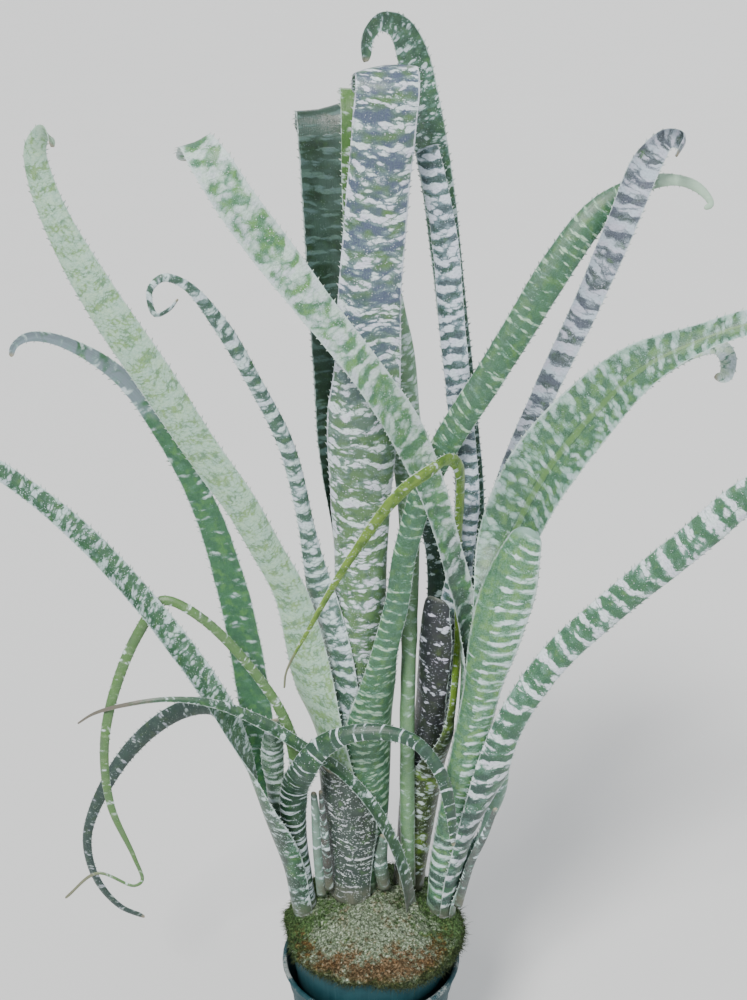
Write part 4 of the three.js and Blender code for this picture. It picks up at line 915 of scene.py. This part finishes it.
def strandPieces(foot, grow, bend, length, thick):  # three-sided tapering strands: foot + grow*t + bend*tt
    joints = moss["joints"]
    t = np.linspace(0, 1, joints)
    course = grow[:, None] * t[None, :, None] + bend[:, None] * (t**2)[None, :, None]
    line = foot[:, None] + length[:, None, None] * course
    a = unit(np.cross(grow, np.array([0.31, 0.77, 0.55])))
    b = np.cross(unit(grow), a)
    size = thick[:, None] * (1 - 0.8 * t[None, :-1])
    rings = []
    for turn in (0, tau / 3, 2 * tau / 3):
        rings.append(line[:, :-1] + size[..., None] * (math.cos(turn) * a + math.sin(turn) * b)[:, None])
    body = np.stack(rings, 2).reshape(len(foot), -1, 3)
    points = np.concatenate([body, line[:, -1:]], 1)
    each, last = points.shape[1], 3 * (joints - 2)
    cone = [[last, last + 1, each - 1], [last + 1, last + 2, each - 1], [last + 2, last, each - 1]]
    shift = each * np.arange(len(foot))[:, None, None]
    triangles = np.vstack([(shift + np.array(part)[None]).reshape(-1, 3) for part in (cone, [[2, 1, 0]])])
    return points.reshape(-1, 3), (shift + gridQuads(joints - 1, 3)[None]).reshape(-1, 4), triangles


def mossStrands(rows, r, z, reach):  # short curved strands over the whole mound, longer at the edge
    count, sides = moss["strands"], moss["sides"]
    a, b, c, d, e, f = (scatter(count, 20 + 3 * n) for n in range(6))
    along = reach[-5] * np.sqrt(a) * 0.985
    column = b * sides
    k = np.floor(column).astype(int) % sides
    row = np.clip(np.searchsorted(rows, along), 1, len(rows) - 1)
    radius, height = r[row, k], z[row, k]
    dr, dz = radius - r[row - 1, k], height - z[row - 1, k]
    angle = column / sides * tau
    out = np.stack([np.cos(angle), np.sin(angle), np.zeros(count)], -1)
    up = np.array([0, 0, 1.0])
    normal = unit(-dz[:, None] * out + dr[:, None] * up)
    spot = out * radius[:, None] + up * height[:, None]
    spot = spot + normal * (mossLumps(*spot.T)[:, None] - 0.5)
    loose = np.stack([c - 0.5, d - 0.5, e - 0.5], -1)
    grow = unit(normal * 0.6 + loose * 1.9)
    bend = np.stack([d - 0.5, f - 0.5, -0.6 * f], -1) * 1.2
    length = 1.8 + 4.2 * f**2 + 1.6 * ease(50, 76, radius) + 5 * (e > 0.97)
    return strandPieces(spot, grow, bend, length, 0.17 + 0.2 * c)


def mossFinish(name):  # pale in the middle, green at the sides, a rusty band in front, dark green under it
    board = Board(name)
    x, y, z = board.field("mossPlace")
    grain = moss["grain"]
    drift = board.noise(x / 16, y / 16, z / 16, 3.0, 0.6) - 0.5
    patch = board.noise(x / 5.5 + 9.0, y / 5.5, z / 5.5, 3.0, 0.65) - 0.5
    fine = board.noise(x / grain, y / grain, z / grain, 3.0, 0.7)
    spot = board.noise(x / 3.4, y / 3.4 + 5.0, z / 3.4, 3.0, 0.7) - 0.5
    tones = ("straw", "green", "rust", "dark", "tan")
    straw, green, rust, dark, tan = (board.ramp(fine, mossTones[tone]) for tone in tones)
    straw = board.mix((drift * 1.6 - patch * 1.6 + spot * 1.2).step(0.02, 0.5) * 0.75, straw, tan)
    side = (x - 4.0).size() / 54 + y / 120 + drift * 1.8 + patch * 2.2 + spot * 1.6
    colour = board.mix(side.step(0.30, 0.95), straw, green)
    band = 1.0 - (z - 175.5).size() / 7 - (y + 40.0) / 50 + drift * 2.6 + patch * 3.4 + spot * 2.4
    colour = board.mix(band.step(0.35, 1.2) * 0.8, colour, rust)
    tuft = patch * 2.6 + drift * 1.8 + spot * 1.7 + y / 62 + 0.25
    colour = board.mix(tuft.step(0.25, 0.8) * 0.7, colour, green)
    low = (drift + patch + spot) * 8 + (174.5 - z)
    colour = board.mix(low.step(0, 5) * 0.9, colour, dark)
    shade = board.noise(x / 2.4, y / 2.4, z / 2.4, 2.0)
    # painted shade darkening the gaps between the strands
    colour = board.mix((1 - shade.step(0.34, 0.56)) * 0.6, colour, mossTones["gap"])
    bump = board.bump(fine + shade, 0.8, 0.0008)
    return board.finish(Base_Color=colour, Roughness=fine * 0.2 + 0.75, Normal=bump, Specular_IOR_Level=0.2)


*mound, mossLine = buildMoss()
for name, part in (("moss_mound", mound), ("moss_strands", mossStrands(*mossLine))):
    piece = meshPiece(name, *part, {"mossPlace": part[0]})
    piece.data.materials.append(mossFinish(name + "_skin"))
    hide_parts("moss")
    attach(piece, "root")
print("moss built")

pots = {
    "outer_pot": {
        "foot": 0, "base": 54, "mouth": 73.8, "height": 140, "collar": 24, "step": 1.8, "lip": 2.2,
        "crust": 0.9,
    },
    "inner_pot": {
        "foot": 31, "base": 55.5, "mouth": 68.6, "height": 139, "collar": 36, "step": 1.6, "lip": 1.4,
        "crust": 0.15,
    },
}

potRules = {
    "wall": 1.6, "floor": 2.4, "collarRise": 0.7, "sides": 160, "patternRadius": 70,
    "drains": 6, "drainCircle": 34, "drainRadius": 5, "drainSides": 20,
}

potTones = {
    "teal": ((0.006, 0.036, 0.045), (0.011, 0.052, 0.062)), "streak": (0.05, 0.11, 0.12),
    "crust": ((0.12, 0.15, 0.15), (0.42, 0.44, 0.42)), "bottomDark": (0.09, 0.10, 0.085),
}


def potProfile(pot):  # radius and height round one closed wall, from the floor's middle outside to inside
    base, mouth, height, step, lip = (pot[key] for key in ("base", "mouth", "height", "step", "lip"))
    thick, floor, rise = (potRules[key] for key in ("wall", "floor", "collarRise"))
    wall = lambda z: base + (mouth - base) / height * z
    top, brow = height - lip, height - pot["collar"]
    points = [(0.01, 0), (20, 0), (45, 0), (base - 1.5, 0), (base - 0.5, 0.4), (base, 1.5)]
    points += [(wall(z), z) for z in (30, 60, 85)]
    points += [(wall(brow) - step, brow - 0.3), (wall(brow) - step + 0.3, brow + 0.1)]
    points += [(wall(brow) - 0.2, brow + step - 0.2), (wall(brow), brow + step + 0.3)]
    points += [(wall(z), z) for z in (top - 12, top - lip - 0.4)]
    turn = np.radians(np.arange(-75, 136, 15))
    points += list(zip(mouth + lip * np.cos(turn), top + lip * np.sin(turn)))
    points += [(wall(top - lip) - thick, top - lip), (wall(brow) - thick, brow + step + rise)]
    points += [(wall(brow) - thick - step, brow + rise), (wall(60) - thick, 60)]
    points += [(wall(floor) - thick, floor + 1), (wall(floor) - thick - 1, floor)]
    points += [(30, floor), (0.01, floor)]
    return np.array(points) + [0, pot["foot"]]


def buildPot(name):  # the profile turned round the pot's axis, with a crust of small lumps on its rolled rim
    pot = pots[name]
    profile = potProfile(pot)
    sides = potRules["sides"]
    angle = np.arange(sides) * tau / sides
    r, z = np.repeat(profile[:, :1], sides, 1), np.repeat(profile[:, 1:], sides, 1)
    x, y = r * np.cos(angle), r * np.sin(angle)
    top = pot["foot"] + pot["height"]
    rim = ease(top - 3.4 * pot["lip"], top - 2 * pot["lip"], z)
    lump = (softNoise(x / 2.4, y / 2.4, z / 2.4, 4) - 0.45) * 1.1
    lump = lump + (softNoise(x / 6, y / 6, z / 6, 6) - 0.5) * 0.8
    swell = pot["crust"] * 0.45 * rim * lump
    r, z = r + swell, z + swell * 0.6
    points = np.stack([r * np.cos(angle), r * np.sin(angle), z], -1).reshape(-1, 3)
    points = np.vstack([points, [[0, 0, profile[0, 1]], [0, 0, profile[-1, 1]]]])
    size = (len(profile), sides)
    return meshPiece(name + "_shell", points, gridQuads(*size), endFans(*size))


def cutDrains(piece, pot):  # round pegs through the floor, taken away from the shell
    count, sides = potRules["drains"], potRules["drainSides"]
    turn = (np.arange(count) + 0.5) * tau / count
    k = np.arange(sides)
    ring = k * tau / sides
    x = potRules["drainCircle"] * np.cos(turn)[:, None] + potRules["drainRadius"] * np.cos(ring)
    y = potRules["drainCircle"] * np.sin(turn)[:, None] + potRules["drainRadius"] * np.sin(ring)
    flat = [np.stack([x, y, np.full_like(x, pot["foot"] + h)], -1) for h in (-3, 6)]
    shift = 2 * sides * np.arange(count)[:, None, None]
    walls = np.c_[k, (k + 1) % sides, sides + (k + 1) % sides, sides + k]
    fan = np.c_[np.zeros(sides - 2, int), k[2:], k[1:-1]]
    ends = np.vstack([(shift + part).reshape(-1, 3) for part in (fan, sides + fan[:, ::-1])])
    pegs = meshPiece("drain_pegs", np.stack(flat, 1).reshape(-1, 3), (shift + walls).reshape(-1, 4), ends)
    tool = piece.modifiers.new("drains", "BOOLEAN")
    tool.operation, tool.solver, tool.object = "DIFFERENCE", "EXACT", pegs
    graph = bpy.context.evaluated_depsgraph_get()
    made = bpy.data.meshes.new_from_object(piece.evaluated_get(graph))
    piece.modifiers.clear()
    piece.data = made
    bpy.data.objects.remove(pegs)


def potFinish(name, pot):  # teal plastic with faint scuffs, chalky crust on the rim and in drips below it
    board = Board(name + "_skin")
    x, y, z = board.objectPlace()
    angle = board.add("ShaderNodeMath", {"operation": "ARCTAN2"}, {0: y, 1: x})
    turned = angle * potRules["patternRadius"]  # mm round the wall
    grain = board.noise(x / 1.2, y / 1.2, z / 1.2, 3.0, 0.6)
    cloud = board.noise(x / 22, y / 22, z / 22, 3.0, 0.55)
    streak = board.noise(turned / 2.2, z / 40, 0.0, 2.0)
    teal = board.mix(cloud.step(0.3, 0.7), *potTones["teal"])
    teal = board.mix(streak.step(0.45, 0.8) * 0.18, teal, potTones["streak"])
    drip = board.noise(turned / 5, 0.0, 3.0, 2.0) * 16 * pot["crust"]
    depth = (z - (pot["foot"] + pot["height"]) + 4.5 + drip) / 6
    crust = (depth + (grain - 0.5) * 1.6 + (cloud - 0.5) * 1.4).step(0.45, 1.0)
    crust = crust * ((grain - 0.5) * 0.9 + (cloud - 0.5) * 1.6 + 0.5).step(0.42, 0.72) * pot["crust"]
    colour = board.mix(crust, teal, board.mix(grain, *potTones["crust"]))
    # darker towards the bottom
    low = 1 - (z - pot["foot"] + (cloud - 0.5) * 16).step(0, 14)
    colour = board.mix(low * 0.35, colour, potTones["bottomDark"])
    bump = board.bump(grain * 0.4 + crust * 1.2, 0.5, 0.0006)
    rough = crust * 0.25 + cloud * 0.14 + 0.5
    return board.finish(Base_Color=colour, Roughness=rough, Normal=bump, Specular_IOR_Level=0.22)


for name, pot in pots.items():
    shell = buildPot(name)
    cutDrains(shell, pot)
    shell.data.materials.append(potFinish(name, pot))
    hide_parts(name)
    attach(shell, "root")

mix = {
    "wide": 7, "tall": 4, "rough": 0.85,
    "bark": [(0.1, (0.035, 0.020, 0.012)), (0.5, (0.09, 0.052, 0.028)), (0.9, (0.19, 0.12, 0.07))],
}


def mixFinish():  # dark bark chips, one tone each
    board = Board("mix_skin")
    x, y, z = board.objectPlace()
    chip = (x / mix["wide"], y / mix["wide"], z / mix["tall"])
    colour = board.ramp(board.ownNumber(*chip), mix["bark"])
    bump = board.bump(board.cells(*chip), 0.8, 0.002)
    return board.finish(Base_Color=colour, Roughness=mix["rough"], Normal=bump)


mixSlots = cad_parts["potting_mix"].data.materials
mixSlots.clear()
mixSlots.append(mixFinish())
print("pots built")

stage = {
    "floor": 160.0, "pale": ((0.60, 0.60, 0.59), (0.62, 0.62, 0.61)), "cloud": 400, "rough": 0.8,
    "sky": (0.90, 0.94, 1.0), "skyStrength": 0.7,
}

half = stage["floor"] / 2
corners = [(-half, -half, 0), (half, -half, 0), (half, half, 0), (-half, half, 0)]
floorMesh = bpy.data.meshes.new("floor")
floorMesh.from_pydata(corners, [], [(0, 1, 2, 3)])
floor = bpy.data.objects.new("floor", floorMesh)
bpy.context.scene.collection.objects.link(floor)
board = Board("floor_skin")
x, y, z = board.objectPlace()
cloud = board.noise(x / stage["cloud"], y / stage["cloud"], 0.0, 3.0)
colour = board.mix(cloud, *stage["pale"])
floorMesh.materials.append(board.finish(Base_Color=colour, Roughness=stage["rough"]))

world = bpy.data.worlds.new("studio")
world.use_nodes = True
sky = world.node_tree.nodes["Background"].inputs
sky["Color"].default_value = (*stage["sky"], 1)
sky["Strength"].default_value = stage["skyStrength"]
bpy.context.scene.world = world

lights = {  # distant lights: the direction each comes from, strength, spread in degrees, colour
    "keyLight": ((-0.75, -1.6, 1.9), 4.3, 16, (1.0, 0.985, 0.96)),
    "fillLight": ((1.8, -1.0, 0.9), 0.8, 50, (0.94, 0.97, 1.0)),
    "backLight": ((0.6, 2.2, 1.6), 1.2, 40, (1.0, 1.0, 1.0)),
}
for name, (spot, strength, spread, tone) in lights.items():
    light = bpy.data.lights.new(name, "SUN")
    light.energy, light.color, light.angle = strength, tone, math.radians(spread)
    lamp = bpy.data.objects.new(name, light)
    lamp.location = spot
    x, y, z = spot
    lamp.rotation_euler = (math.atan2(math.hypot(x, y), z), 0, math.atan2(x, -y))
    bpy.context.scene.collection.objects.link(lamp)

view = {"place": (0.0023, -0.9623, 0.9493), "tilt": 68, "lens": 50, "sensor": 36}
camera = bpy.data.objects.new("camera", bpy.data.cameras.new("camera"))
camera.data.lens, camera.data.sensor_width = view["lens"], view["sensor"]
camera.location = view["place"]
camera.rotation_euler = (math.radians(view["tilt"]), 0, 0)
bpy.context.scene.collection.objects.link(camera)
bpy.context.scene.camera = camera
print("stage set")
